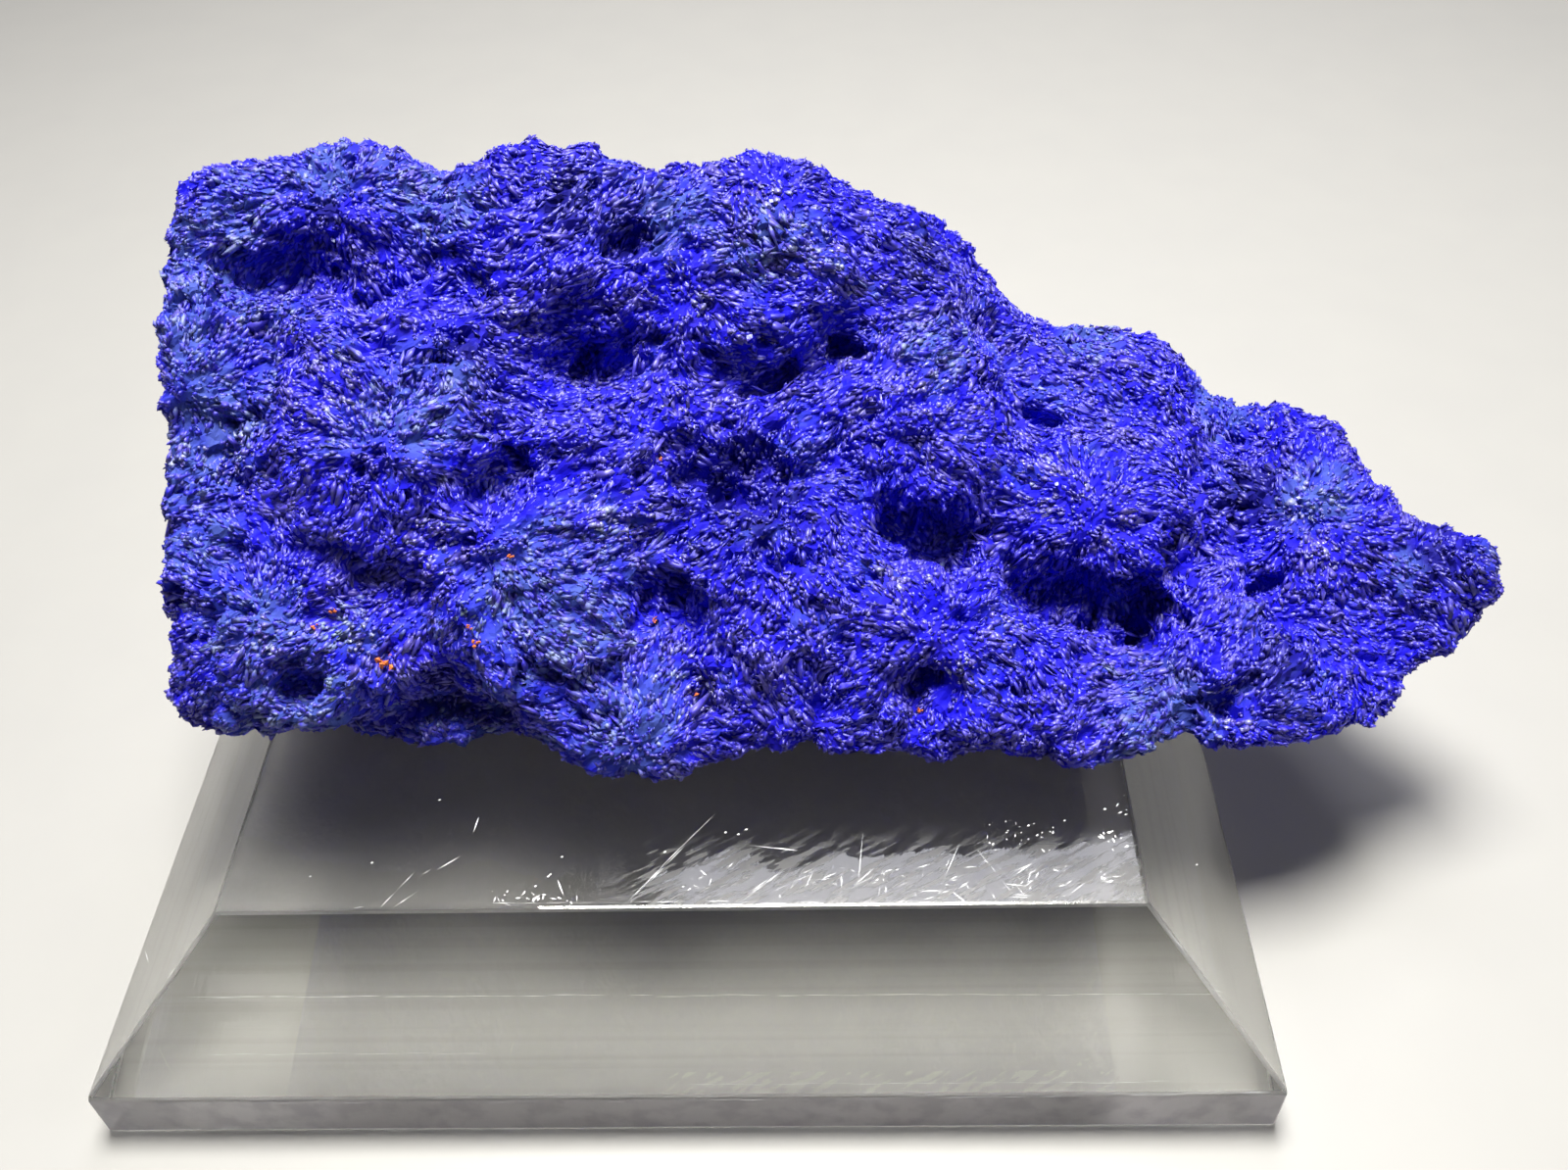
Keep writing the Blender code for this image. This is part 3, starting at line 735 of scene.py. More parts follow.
print("the crust's relief is", (lift.std() / MM).round(2), "mm on average")

# %% [markdown]
# ## The blades
# An azurite blade is a flat crystal with a chisel end. They are packed so tightly that only the last few
# tenths of a millimetre of each stand free. All are worked out together as arrays, and every blade is a
# closed body of its own, so light finds real faces to glint on. First come their places: points drawn at
# random over the crust's triangles, with no two in the same small cell, and more of them on the side that
# faces the camera.

# %% Where the blades stand
BLADES = 78000
ROOM_FOR_SLITS = 1.25
CROWDING = 0.19 * MM
FRONT_SHARE = 3.5

crust_mesh.calc_loop_triangles()
corners = np.zeros(len(crust_mesh.loop_triangles) * 3, dtype=np.int64)
crust_mesh.loop_triangles.foreach_get("vertices", corners)
corners = corners.reshape(-1, 3)
places, normals = mesh_points(crust_mesh)
triangles = places[corners]
cross = np.cross(triangles[:, 1] - triangles[:, 0], triangles[:, 2] - triangles[:, 0])
faces_eye = np.einsum("ij,ij->i", cross, eye - triangles.mean(axis=1)) > 0
weight = np.linalg.norm(cross, axis=1) * np.where(faces_eye, FRONT_SHARE, 1)
picked = random.choice(len(triangles), size=4 * BLADES, p=weight / weight.sum())
first, second = random.random((2, len(picked)))
fold = first + second > 1
first, second = np.where(fold, 1 - first, first), np.where(fold, 1 - second, second)
chosen = triangles[picked]
roots = (chosen[:, 0] + (chosen[:, 1] - chosen[:, 0]) * first[:, None]
         + (chosen[:, 2] - chosen[:, 0]) * second[:, None])
keep = one_per_cell(roots, CROWDING)[:int(ROOM_FOR_SLITS * BLADES)]
roots = roots[keep]
outward = unit(normals[corners[picked[keep], 0]])
print(len(roots), "places for blades")

# %% [markdown]
# ## How the blades lean
# Near a start a blade stands steeper, and towards the rim of its rosette it lies nearly flat. Neighbours
# turn and lean alike in small clumps, and each goes its own way a little, as straws do. The gaps between
# rows stay bare where the blades lie over, and wider in the open sprays. Each blade also rolls about its
# own length, so that its faces catch the light differently from its neighbour's.

# %% Which places keep a blade
SLIT_LEVEL, NEVER_BARE = -0.75, -2
RIBS_FROM = 0.3

root_bundle = bundles(roots)[1]
way = bundle_way[root_bundle]
way = unit(way - lengths_along(way, outward) * outward)
rows = rows_at(roots, way)
share = bundle_lying[root_bundle]
opened = patches(roots, OPEN_SPRAYS, 71)
bare_below = np.where(share < RIBS_FROM, NEVER_BARE, SLIT_LEVEL) + 0.7 * opened
standing = np.flatnonzero(rows > bare_below)[:BLADES]
roots, outward, way, rows, share, opened = (
    values[standing] for values in (roots, outward, way, rows, share, opened))
print(len(roots), "blades")

# %% How each blade leans
UPRIGHT_LEAN, FULL_LEAN, MOST_LEAN = math.radians(50), math.radians(78), math.radians(88)
CLUMP = 0.9 * MM
CLUMP_TURN, BROAD_TURN = math.radians(20), math.radians(30)
CLUMP_LEAN, OWN_LEAN = math.radians(12), math.radians(9)
STRAY, LESS_STRAY_LYING = 24, 17
FULL_ROLL, LESS_ROLL_LYING = math.radians(70), math.radians(38)
ROOT_LIFT = 0.10 * MM
RIBBED_SHARE = 0.4

clump_turn = noise(roots, CLUMP, 21) * CLUMP_TURN + noise(roots, 3 * CLUMP, 23) * BROAD_TURN
own_turn = random.normal(0, math.radians(1), len(roots)) * (STRAY - LESS_STRAY_LYING * share)
way = turned(way, outward, clump_turn + own_turn)
roots = roots + outward * (ROOT_LIFT * rows)[:, None]
lean = UPRIGHT_LEAN + (FULL_LEAN - UPRIGHT_LEAN) * share
lean = lean + noise(roots, CLUMP, 22) * CLUMP_LEAN + random.normal(0, OWN_LEAN, len(roots))
lean = np.clip(lean, 0, MOST_LEAN)
ribbed = (share > RIBS_FROM) & (random.random(len(roots)) < RIBBED_SHARE)
along = unit(outward * np.cos(lean)[:, None] + way * np.sin(lean)[:, None])
across = unit(np.cross(along, outward) + 1e-6)
through = np.cross(along, across)
roll = random.normal(0, 1, len(roots)) * (FULL_ROLL - LESS_ROLL_LYING * share)
across = unit(across * np.cos(roll)[:, None] + through * np.sin(roll)[:, None])
through = np.cross(along, across)
print("mean lean", round(math.degrees(lean.mean())), "degrees")

# %% [markdown]
# ## Places that glitter
# In some places neighbouring blades have grown with their faces in line, and they flash together. A face
# flashes when it looks halfway between the lamp and the eye. So in each place read off the photograph, a
# third of the blades are turned that way, give or take a few degrees. Those blades are also painted pale,
# a painted glint on top of the real one.

# %% Places where blades flash together
# Each row: a pixel and a reach in millimetres.
GLITTERING = (
    (567, 179, 1.2), (778, 190, 1.6), (807, 237, 1.2), (837, 255, 1.6), (855, 308, 1.2), (678, 286, 1.5),
    (530, 325, 1.5), (704, 308, 1.0), (762, 348, 1.8), (575, 388, 1.4), (678, 405, 1.4), (855, 372, 1.4),
    (193, 463, 1.2), (437, 557, 1.8), (277, 647, 1.4), (630, 527, 2.0), (697, 570, 1.4), (370, 650, 1.2),
    (1075, 492, 2.4), (920, 604, 2.4), (1028, 640, 1.4), (975, 692, 1.6), (1320, 508, 2.0), (1293, 428, 1.4),
    (1345, 564, 1.4), (1255, 723, 1.6), (330, 400, 2.6), (250, 470, 2.2), (940, 400, 2.0), (700, 700, 2.2),
)
FLASHING_SHARE = 0.35
UNEVEN = math.radians(7)


def halfway_to_lamp(points):
    """The direction in which a face at each point mirrors the lamp to the eye."""
    return unit(unit(eye - points) + unit(np.array(lamp.location) - points))


spots = np.array([[*on_stone(row[0], row[1]), row[2] * MM] for row in GLITTERING])
gap = np.linalg.norm(roots[:, None] - spots[None, :, :3], axis=2) / spots[None, :, 3]
flashing = (gap.min(axis=1) < 1.3) & (random.random(len(roots)) < FLASHING_SHARE)
turned_through = unit(halfway_to_lamp(roots) + random.normal(0, UNEVEN, roots.shape))
through = np.where(flashing[:, None], turned_through, through)
along = np.where(flashing[:, None], unit(along - lengths_along(along, through) * through), along)
across = np.where(flashing[:, None], np.cross(along, through), across)
print(flashing.sum(), "blades flash together")

# %% [markdown]
# ## Sizes of the blades
# The blades differ in size, larger on the ridges than in the gaps. Each is buried at its root, and its
# free part is cut short where its end would stand far off the crust, as it would over a hollow. That keeps
# the blades lying close, as the real ones are.

# %% Blade sizes
BLADE_LENGTH, BLADE_WIDTH, BLADE_THICKNESS = 0.54 * MM, 0.27 * MM, 0.15 * MM
LYING_GROWTH = 0.4
BURIED = 0.32 * MM
STAND_OFF = 0.16 * MM
SIZE_SPREAD, WIDTH_SPREAD, THICKNESS_SPREAD, STAND_OFF_SPREAD = 0.26, 0.2, 0.25, 0.35
LARGE_SHARE, LARGER = 0.02, 1.3

size = np.exp(np.clip(random.normal(0, SIZE_SPREAD, len(roots)), -0.6, 0.4))
size = size * np.clip(1 + 0.4 * rows, 0.45, 1.35)
size = np.where(random.random(len(roots)) < LARGE_SHARE, LARGER * size, size)
length = BLADE_LENGTH * size * (1.25 + LYING_GROWTH * share)
width = BLADE_WIDTH * size * (1.1 - 0.15 * share) * np.exp(random.normal(0, WIDTH_SPREAD, len(roots)))
thickness = BLADE_THICKNESS * np.exp(random.normal(0, THICKNESS_SPREAD, len(roots)))
free_tips = roots + along * (length - BURIED)[:, None]
gaps = np.array([crust_tree.find_nearest(painted_tip_light)[3] for painted_tip_light in free_tips])
allowed = STAND_OFF * np.exp(random.normal(0, STAND_OFF_SPREAD, len(roots)))
length = BURIED + (length - BURIED) * np.clip(allowed / np.maximum(gaps, 1e-6), 0.1, 1)
print("blades are", (length.mean() / MM).round(2), "mm long on average")

# %% [markdown]
# ## Long ribs
# Where the blades lie over, many of them grow on along the surface and show as fine long ribs. Two fifths
# of the blades there become ribs. A rib runs from a root below the crust to a point further along the
# run, just above the crust, so it follows the relief and most of it is sunk in.

# %% Long ribs that lie along the crust
RIB_LENGTH, RIB_WIDTH, RIB_THICKER = 1.2 * MM, 0.30 * MM, 1.3
RIB_SINK, RIB_STAND_OFF = 0.18 * MM, 0.05 * MM
SHORTEST_RIB = 0.5 * MM

rib_ends = roots + way * (RIB_LENGTH * size)[:, None]
landed = [crust_tree.find_nearest(end)[:2] for end in rib_ends]
rib_ends = np.array([place + normal * RIB_STAND_OFF for place, normal in landed])
rib_starts = roots - outward * RIB_SINK
rib_along = rib_ends - rib_starts
rib_length = np.linalg.norm(rib_along, axis=1)
ribbed = ribbed & ~flashing & (rib_length > SHORTEST_RIB)
along = np.where(ribbed[:, None], unit(rib_along), along)
rib_across = unit(np.cross(along, outward + 0.5 * random.normal(0, 1, roots.shape)))
across = np.where(ribbed[:, None], rib_across, across)
through = np.where(ribbed[:, None], np.cross(along, across), through)
length = np.where(ribbed, rib_length, length)
width = np.where(ribbed, RIB_WIDTH * size ** 0.5, width)
thickness = np.where(ribbed, RIB_THICKER * thickness, thickness)
bases = np.where(ribbed[:, None], rib_starts, roots - along * BURIED)
print(ribbed.sum(), "ribs")

# %% [markdown]
# ## The shape of one blade
# Seven corners are enough for a blade: a buried point, a ring of four, and the two ends of the chisel
# edge. They are given once, as shares of its length, width and thickness, and eight faces close them.
# Each corner is then knocked a little out of place, because no blade is perfect.

# %% Corners of the blades
BLADE_RING, RIB_RING = 0.7, 0.38
CORNERS_ALONG = np.array([0, BLADE_RING, BLADE_RING, BLADE_RING, BLADE_RING, 1, 1])
CORNERS_ACROSS = np.array([0, 0.5, -0.5, -0.5, 0.5, 0.38, -0.38])
CORNERS_THROUGH = np.array([0, 0.5, 0.5, -0.5, -0.5, 0, 0])
BLADE_FACES = (
    (0, 1, 2), (0, 2, 3), (0, 3, 4), (0, 4, 1), (1, 5, 6, 2), (4, 3, 6, 5), (1, 4, 5), (2, 6, 3),
)
CHISEL_SKEW = 0.14
KNOCKED = 0.05 * MM

skew = random.uniform(-CHISEL_SKEW, CHISEL_SKEW, len(roots))
corners_along = np.repeat(CORNERS_ALONG[None], len(roots), axis=0)
corners_along[:, 1:5] = np.where(ribbed, RIB_RING, BLADE_RING)[:, None]
corners_along[:, 5] += np.minimum(skew, 0)
corners_along[:, 6] -= np.maximum(skew, 0)
blade_points = (
    bases[:, None]
    + along[:, None] * (corners_along * length[:, None])[..., None]
    + across[:, None] * (CORNERS_ACROSS * width[:, None])[..., None]
    + through[:, None] * (CORNERS_THROUGH * thickness[:, None])[..., None])
blade_points += random.normal(0, KNOCKED, blade_points.shape) * np.where(ribbed, 1.5, 1)[:, None, None]
blade_points = above_block(blade_points)
print("blades reach", (blade_points[..., 0].max() / MM).round(2), "mm to the right")

# %% [markdown]
# ## Weathering and tone
# The blue isn't even. Along the crests, the rim and the left side the blades have a dull steel-blue
# bloom, where weather and handling have frosted them, and a few spots have a grey-green tint. These
# places are read off the photograph, and noise breaks up their edges. The tone also changes at random
# from clump to clump and from blade to blade, and light and shade are painted into it as well: it is
# lighter on the ridges and darker in the gaps between the rows, and darker still in the open sprays, as
# painted shade. Each point of a mesh carries these as plain numbers from 0 to 1, so that a few materials
# can serve every blade: bloom and green are the weathering, the tone is how light the blue is, then comes
# how far a flashing face is painted white, as a painted glint, then how much shade is painted in for an
# open spray, and reach is how far out along its blade the point lies.

# %% Places with bloom
# Each row: a pixel and a reach in millimetres.
BLOOMED = (
    (215, 300, 7), (215, 430, 6), (330, 160, 4), (430, 160, 4), (450, 210, 4), (425, 415, 5), (250, 210, 4),
    (190, 250, 4), (186, 360, 5), (190, 480, 5), (200, 560, 4), (560, 620, 8), (640, 740, 6), (690, 215, 4),
    (300, 740, 8), (480, 745, 6), (950, 350, 4), (1110, 345, 4), (1240, 420, 4), (1400, 470, 4),
    (1430, 580, 2), (240, 640, 5), (770, 250, 4), (1190, 740, 6),
)
GREENISH = ((352, 712, 2.0), (490, 630, 2.0), (350, 640, 2.5))


def bloom_at(points):
    """The bloom at each point: the listed patches, and a fainter cloudiness all over."""
    cloud = noise(points, 5 * MM, 31) + 0.7 * noise(points, 1.3 * MM, 32)
    return np.clip(patches(points, BLOOMED, 41) + np.clip(cloud - 0.45, 0, 0.5), 0, 1)


def note(mesh, name, values):
    """Keeps one number for each vertex on a mesh."""
    column = mesh.attributes.new(name, "FLOAT", "POINT")
    column.data.foreach_set("value", np.ravel(values).astype(np.float32))


places, normals = mesh_points(crust_mesh)
note(crust_mesh, "bloom", bloom_at(places))
note(crust_mesh, "tone", np.clip(ground_tone, 0, 1))
note(crust_mesh, "painted_shade", ground_shade)
blade_bloom = np.clip(bloom_at(roots) * (1 + random.normal(0, 0.45, len(roots))), 0, 1)
blade_green = patches(roots, GREENISH, 51)
print("share of bloomed blades", (blade_bloom > 0.4).mean().round(2))

# %% Tone of each blade
MIDDLE_TONE, TONE_SPREAD = 0.31, 0.13
PAINTED_SHADE_OPEN, PAINTED_ROW_LIGHT_AND_SHADE, CLUMP_CHANGE = 0.40, 0.36, 0.32

clump_tone = noise(roots, 1.1 * MM, 43) + 0.6 * noise(roots, 2.8 * MM, 44)
# Painted light and shade: the tone is raised on the rows' ridges, lowered in their gaps and lowered in the
# open sprays; the clump noise and the spread are random tone.
blade_tone = (MIDDLE_TONE - PAINTED_SHADE_OPEN * opened + PAINTED_ROW_LIGHT_AND_SHADE * rows + CLUMP_CHANGE * clump_tone
              + random.normal(0, TONE_SPREAD, len(roots)))
# Painted glint: flashing blades get full tone and a pale colour, on top of their turned faces.
blade_tone = np.where(flashing, 1, np.clip(blade_tone, 0, 1))
blade_painted_glint = np.where(flashing, random.uniform(0.05, 0.6, len(roots)), 0)
print("mean tone", blade_tone.mean().round(2))

# %% [markdown]
# ## The finish of azurite
# The faces are as they grew, not ground or polished. Azurite has a glassy lustre and a high refractive
# index, about 1.78, so they throw hard white glints in a colour that is otherwise nearly pure blue. Thin
# ends let light through, and that light is painted in: the colour turns paler and more violet toward each
# blade's end. The bloom is a fine roughening, so it is paler, greyer and duller at once. A mottle under a
# millimetre wide changes the blue a little from blade to blade.

# %% Azurite material
AZURITE_IOR = 1.78
MOTTLE = 0.7 * MM
PAINTED_SHADE_STRENGTH = 0.75
TIP_PALENESS, TIP_SHARPNESS = 0.38, 3.0
CLEAN_FACE, BLOOMED_FACE, FLASHING_FACE = 0.50, 0.60, 0.12

azurite, tree, shader = start_material("azurite, natural crystal faces")
bloom, green, reach, tone, painted_glint, painted_shade = (
    add(tree, "ShaderNodeAttribute", {"attribute_name": name}).outputs["Fac"]
    for name in ("bloom", "green", "reach", "tone", "painted_glint", "painted_shade"))
where = add(tree, "ShaderNodeTexCoord").outputs["Object"]
mottle = add(tree, "ShaderNodeTexNoise", Vector=where, Scale=1 / MOTTLE, Detail=3.0).outputs["Fac"]
deep = add(tree, "ShaderNodeMix", COLOUR_MIX,
           _0=tone, _6=linear("0C00CE"), _7=linear("463AA4")).outputs[2]
# Painted shade: in the open sprays the blue is painted darker, toward a dark navy.
painted_shade_share = add(tree, "ShaderNodeMath", {"operation": "MULTIPLY"}, _0=painted_shade, _1=PAINTED_SHADE_STRENGTH).outputs[0]
deep = add(tree, "ShaderNodeMix", COLOUR_MIX, _0=painted_shade_share, _6=deep, _7=linear("1A1480")).outputs[2]
# Painted light: toward each blade's end the colour turns paler and more violet, for light shining through
# the thin end.
painted_tip_light = add(tree, "ShaderNodeMath", {"operation": "POWER"}, _0=reach, _1=TIP_SHARPNESS).outputs[0]
painted_tip_light = add(tree, "ShaderNodeMath", {"operation": "MULTIPLY"}, _0=painted_tip_light, _1=TIP_PALENESS).outputs[0]
body = add(tree, "ShaderNodeMix", COLOUR_MIX, _0=painted_tip_light, _6=deep, _7=linear("8680BE")).outputs[2]
steel = add(tree, "ShaderNodeMix", COLOUR_MIX,
            _0=tone, _6=linear("3C4CAA"), _7=linear("8290B8")).outputs[2]
bloomed = add(tree, "ShaderNodeMapRange", SOFT_STEP,
              Value=bloom, From_Min=0.15, From_Max=0.9).outputs["Result"]
dulled = add(tree, "ShaderNodeMix", COLOUR_MIX, _0=bloomed, _6=body, _7=steel).outputs[2]
stained = add(tree, "ShaderNodeMix", COLOUR_MIX, _0=green, _6=dulled, _7=linear("74889A")).outputs[2]
# Painted glint: flashing faces and flakes are painted pale white-lavender.
stained = add(tree, "ShaderNodeMix", COLOUR_MIX, _0=painted_glint, _6=stained, _7=linear("A9B0DC")).outputs[2]
blotch = add(tree, "ShaderNodeMapRange", SOFT_STEP,
             Value=mottle, From_Min=0.62, From_Max=0.42).outputs["Result"]
colour = add(tree, "ShaderNodeMix", COLOUR_MIX, _0=blotch, _6=stained, _7=deep).outputs[2]
tree.links.new(colour, shader.inputs["Base Color"])
print("azurite colour from", len(tree.nodes), "nodes")

# %% Gloss of azurite
frosted = add(tree, "ShaderNodeMapRange", SOFT_STEP,
              Value=bloom, From_Min=0.1, From_Max=0.8).outputs["Result"]
dullness = add(tree, "ShaderNodeMix", _0=frosted, _2=CLEAN_FACE, _3=BLOOMED_FACE).outputs[0]
dullness = add(tree, "ShaderNodeMix", _0=painted_glint, _2=dullness, _3=FLASHING_FACE).outputs[0]
tree.links.new(dullness, shader.inputs["Roughness"])
shader.inputs["IOR"].default_value = AZURITE_IOR
print("azurite IOR", AZURITE_IOR)

# %% [markdown]
# ## The ground between the blades
# The crust is the same azurite, but of broken and packed grains with no clean faces. It looks matt and
# deeper in colour, and so the blades stand out against it. The bloom lies on it too. Its tone is painted
# lighter on the rows' ridges and darker in their gaps, and darker still in the open sprays, as painted
# shade.

# %% Ground of the crust
GROUND_MOTTLE = 0.9 * MM

ground, tree, shader = start_material("azurite, packed and dull")
bloom, tone, painted_shade = (add(tree, "ShaderNodeAttribute", {"attribute_name": name}).outputs["Fac"]
                      for name in ("bloom", "tone", "painted_shade"))
where = add(tree, "ShaderNodeTexCoord").outputs["Object"]
mottle = add(tree, "ShaderNodeTexNoise", Vector=where, Scale=1 / GROUND_MOTTLE, Detail=3.0).outputs["Fac"]
toned = add(tree, "ShaderNodeMix", COLOUR_MIX,
            _0=tone, _6=linear("0800C2"), _7=linear("3A2EA0")).outputs[2]
toned = add(tree, "ShaderNodeMix", COLOUR_MIX, _0=mottle, _6=toned, _7=linear("0A02C6")).outputs[2]
# Painted shade: in the open sprays the ground is painted darker, toward a dark navy.
dark = add(tree, "ShaderNodeMix", COLOUR_MIX, _0=painted_shade, _6=toned, _7=linear("0A0670")).outputs[2]
colour = add(tree, "ShaderNodeMix", COLOUR_MIX, _0=bloom, _6=dark, _7=linear("3E4EA4")).outputs[2]
tree.links.new(colour, shader.inputs["Base Color"])
shader.inputs["Roughness"].default_value = 0.75
shader.inputs["Specular IOR Level"].default_value = 0.2
print("ground colour from", len(tree.nodes), "nodes")

# %% [markdown]
# ## Building the crust and the blades
# The blades are joined into a few meshes, from the stone's left to its right, so that none grows too big.
# Their corners are already one array, so the meshes are filled from arrays too, which takes a second
# where adding the blades one by one would take minutes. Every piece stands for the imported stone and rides
# with it.

# %% Build the crust and the blades
BLADE_PIECES = 5


def as_piece(mesh, name):
    """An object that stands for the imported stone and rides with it."""
    piece = bpy.data.objects.new(name, mesh)
    bpy.context.scene.collection.objects.link(piece)
    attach(piece, "root")
    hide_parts("azurite")
    return piece


def blade_mesh(name, chosen_blades):
    """One joined mesh of some of the blades."""
    count, each = len(chosen_blades), len(CORNERS_ALONG)
    sizes = np.array([len(face) for face in BLADE_FACES])
    template = np.concatenate([np.array(face) for face in BLADE_FACES])
    loops = (template[None] + np.arange(count)[:, None] * each).ravel()
    ends = np.cumsum(np.tile(sizes, count))
    mesh = bpy.data.meshes.new(name)
    mesh.vertices.add(count * each)
    mesh.vertices.foreach_set("co", blade_points[chosen_blades].ravel())
    mesh.loops.add(len(loops))
    mesh.loops.foreach_set("vertex_index", loops)
    mesh.polygons.add(len(ends))
    mesh.polygons.foreach_set("loop_start", np.concatenate([[0], ends[:-1]]))
    mesh.update(calc_edges=True)
    for label, values in (("bloom", blade_bloom), ("green", blade_green), ("tone", blade_tone),
                          ("painted_glint", blade_painted_glint), ("painted_shade", opened)):
        note(mesh, label, np.repeat(values[chosen_blades], each))
    note(mesh, "reach", np.tile(CORNERS_ALONG, count))
    mesh.materials.append(azurite)
    return mesh


crust_mesh.materials.clear()
crust_mesh.materials.append(ground)
as_piece(crust_mesh, "azurite_crust")
left_to_right = np.argsort(roots[:, 0])
for number, group in enumerate(np.array_split(left_to_right, BLADE_PIECES), start=1):
    piece = as_piece(blade_mesh(f"azurite_blades_{number}", group), f"azurite_blades_{number}")
    print(piece.name, len(piece.data.polygons), "faces")

# %% [markdown]
# ## Rust grains and cleavage flakes
# A few grains of rust-orange iron oxide sit between the blades, most of them low on the left. Here and
# there a larger face has cleaved flat and throws the lamp straight back, so it looks white; its colour is
# also painted pale, a painted glint on top of the real mirror. Both are small knocked lumps with flat
# faces: the grains in little heaps, the flakes pressed flat and turned so that they mirror the lamp to the
# eye.

# %% Knocked lumps
LUMP_CORNERS = np.array([(1, 0, 0), (0, 1, 0), (-1, 0, 0), (0, -1, 0), (0, 0, 1), (0, 0, -1)])
LUMP_FACES = ((0, 1, 4), (1, 2, 4), (2, 3, 4), (3, 0, 4), (1, 0, 5), (2, 1, 5), (3, 2, 5), (0, 3, 5))


def on_crust(across_px, down_px):
    """The crust's place under a pixel of the photograph."""
    sight = toward_pixel(across_px, down_px)
    return np.array(crust_tree.ray_cast(EYE, sight)[0] or on_stone(across_px, down_px))


def joined(name, bodies, faces):
    """One mesh of many bodies, each given by its corners, that all have the same faces."""
    mesh = bpy.data.meshes.new(name)
    corners = [tuple(corner) for body in bodies for corner in body]
    all_faces = [[corner + len(bodies[0]) * number for corner in face]
                 for number in range(len(bodies)) for face in faces]
    mesh.from_pydata(corners, [], all_faces)
    return mesh


def knocked_lumps(name, middles, upward, sizes):
    """One mesh of small eight-sided lumps. Sizes are half their width, depth and height along upward."""
    sideways = unit(np.cross(upward, random.normal(0, 1, upward.shape)))
    axes = np.stack([sideways, np.cross(upward, sideways), upward], axis=1)
    knocks = random.uniform(0.7, 1.15, (len(middles), len(LUMP_CORNERS), 1))
    local = LUMP_CORNERS[None] * sizes[:, None] * knocks
    return joined(name, (middles[:, None] + np.einsum("ijk,ikl->ijl", local, axes)).tolist(), LUMP_FACES)


print("a lump has", len(LUMP_FACES), "faces")

# %% Rust grains
# Iron oxide is an earthy powder caked into grains, so it looks matt, and its orange varies between grains.
# Each row: a pixel, and the heap's size against an average one.
RUST_GRAINS = (
    (395, 680, 1.5), (338, 624, 0.7), (321, 640, 0.6), (520, 567, 0.6), (486, 656, 0.7), (478, 640, 0.5),
    (674, 469, 0.6), (667, 634, 0.6), (705, 709, 1.2), (937, 725, 0.6),
)
GRAINS_EACH = 6
GRAIN_SIZE, GRAIN_SCATTER, GRAIN_LIFT = 0.24 * MM, 0.22 * MM, 0.30 * MM
RUST_MOTTLE = 0.4 * MM

rust, tree, shader = start_material("iron oxide grains, natural")
where = add(tree, "ShaderNodeTexCoord").outputs["Object"]
mottle = add(tree, "ShaderNodeTexNoise", Vector=where, Scale=1 / RUST_MOTTLE, Detail=2.0).outputs["Fac"]
colour = add(tree, "ShaderNodeMix", COLOUR_MIX,
             _0=mottle, _6=linear("A03E1C"), _7=linear("F08A3E")).outputs[2]
tree.links.new(colour, shader.inputs["Base Color"])
shader.inputs["Roughness"].default_value = 0.7

heaps = np.array([[*on_crust(row[0], row[1]), row[2]] for row in RUST_GRAINS])
heaps = heaps.repeat(GRAINS_EACH, axis=0)
middles = heaps[:, :3] + random.normal(0, GRAIN_SCATTER, (len(heaps), 3)) * heaps[:, 3:]
toward_eye = unit(eye - middles)
sizes = GRAIN_SIZE * heaps[:, 3:] * random.uniform(0.6, 1.2, (len(heaps), 3))
grain_mesh = knocked_lumps("rust_grains", middles + toward_eye * GRAIN_LIFT, toward_eye, sizes)
grain_mesh.materials.append(rust)
as_piece(grain_mesh, "rust_grains")
print(len(heaps), "grains")

# %% Cleaved flakes
# Each row: a pixel and half the flake's width in millimetres.
FLAKES = (
    (765, 344, 0.42), (766, 356, 0.34), (777, 190, 0.30), (787, 205, 0.24), (700, 290, 0.26),
    (527, 318, 0.28), (340, 245, 0.22), (347, 276, 0.24), (700, 178, 0.22), (315, 450, 0.22),
    (650, 518, 0.22), (1078, 494, 0.24), (1325, 508, 0.26), (1348, 520, 0.22), (918, 600, 0.26),
    (436, 556, 0.26), (283, 160, 0.22), (566, 180, 0.22),
)
FLAKE_SHAPE = np.array([[1.0, 0.7, 0.12]])
FLAKE_LIFT = 0.25 * MM

flake_rows = np.array([[*on_crust(row[0], row[1]), row[2] * MM] for row in FLAKES])
flake_at = flake_rows[:, :3]
flake_mesh = knocked_lumps("cleaved_flakes", flake_at + unit(eye - flake_at) * FLAKE_LIFT,
                           halfway_to_lamp(flake_at), flake_rows[:, 3:] * FLAKE_SHAPE)
# Painted glint: the flakes are painted at full tone and pale, on top of their real mirror.
for name, value in (("bloom", 0), ("green", 0), ("reach", 0), ("tone", 1), ("painted_glint", 1), ("painted_shade", 0)):
    note(flake_mesh, name, np.full(len(flake_mesh.vertices), value))
flake_mesh.materials.append(azurite)
as_piece(flake_mesh, "cleaved_flakes")
print(len(flake_rows), "flakes")

# %% [markdown]
# ## Scratches on the block
# The block has been handled. Fine scratches cross the polished top in front of the stone, thickest
# towards the right, and the top's edges are chipped. A scratch in acrylic is a torn groove whose raised
# lips scatter light, so each is a thin raised sliver of scuffed acrylic on the face that carries it.
# Places are read off the photograph and dropped on the block along the line of sight. A long scratch is
# broken into short pieces that wander a little, as a grain of grit does.

# %% Slivers that lie on the block
LIP = 0.02 * MM
SLIVER_FACES = ((0, 4, 2), (0, 3, 4), (1, 2, 4), (1, 4, 3), (0, 2, 3), (1, 3, 2))
slivers = []

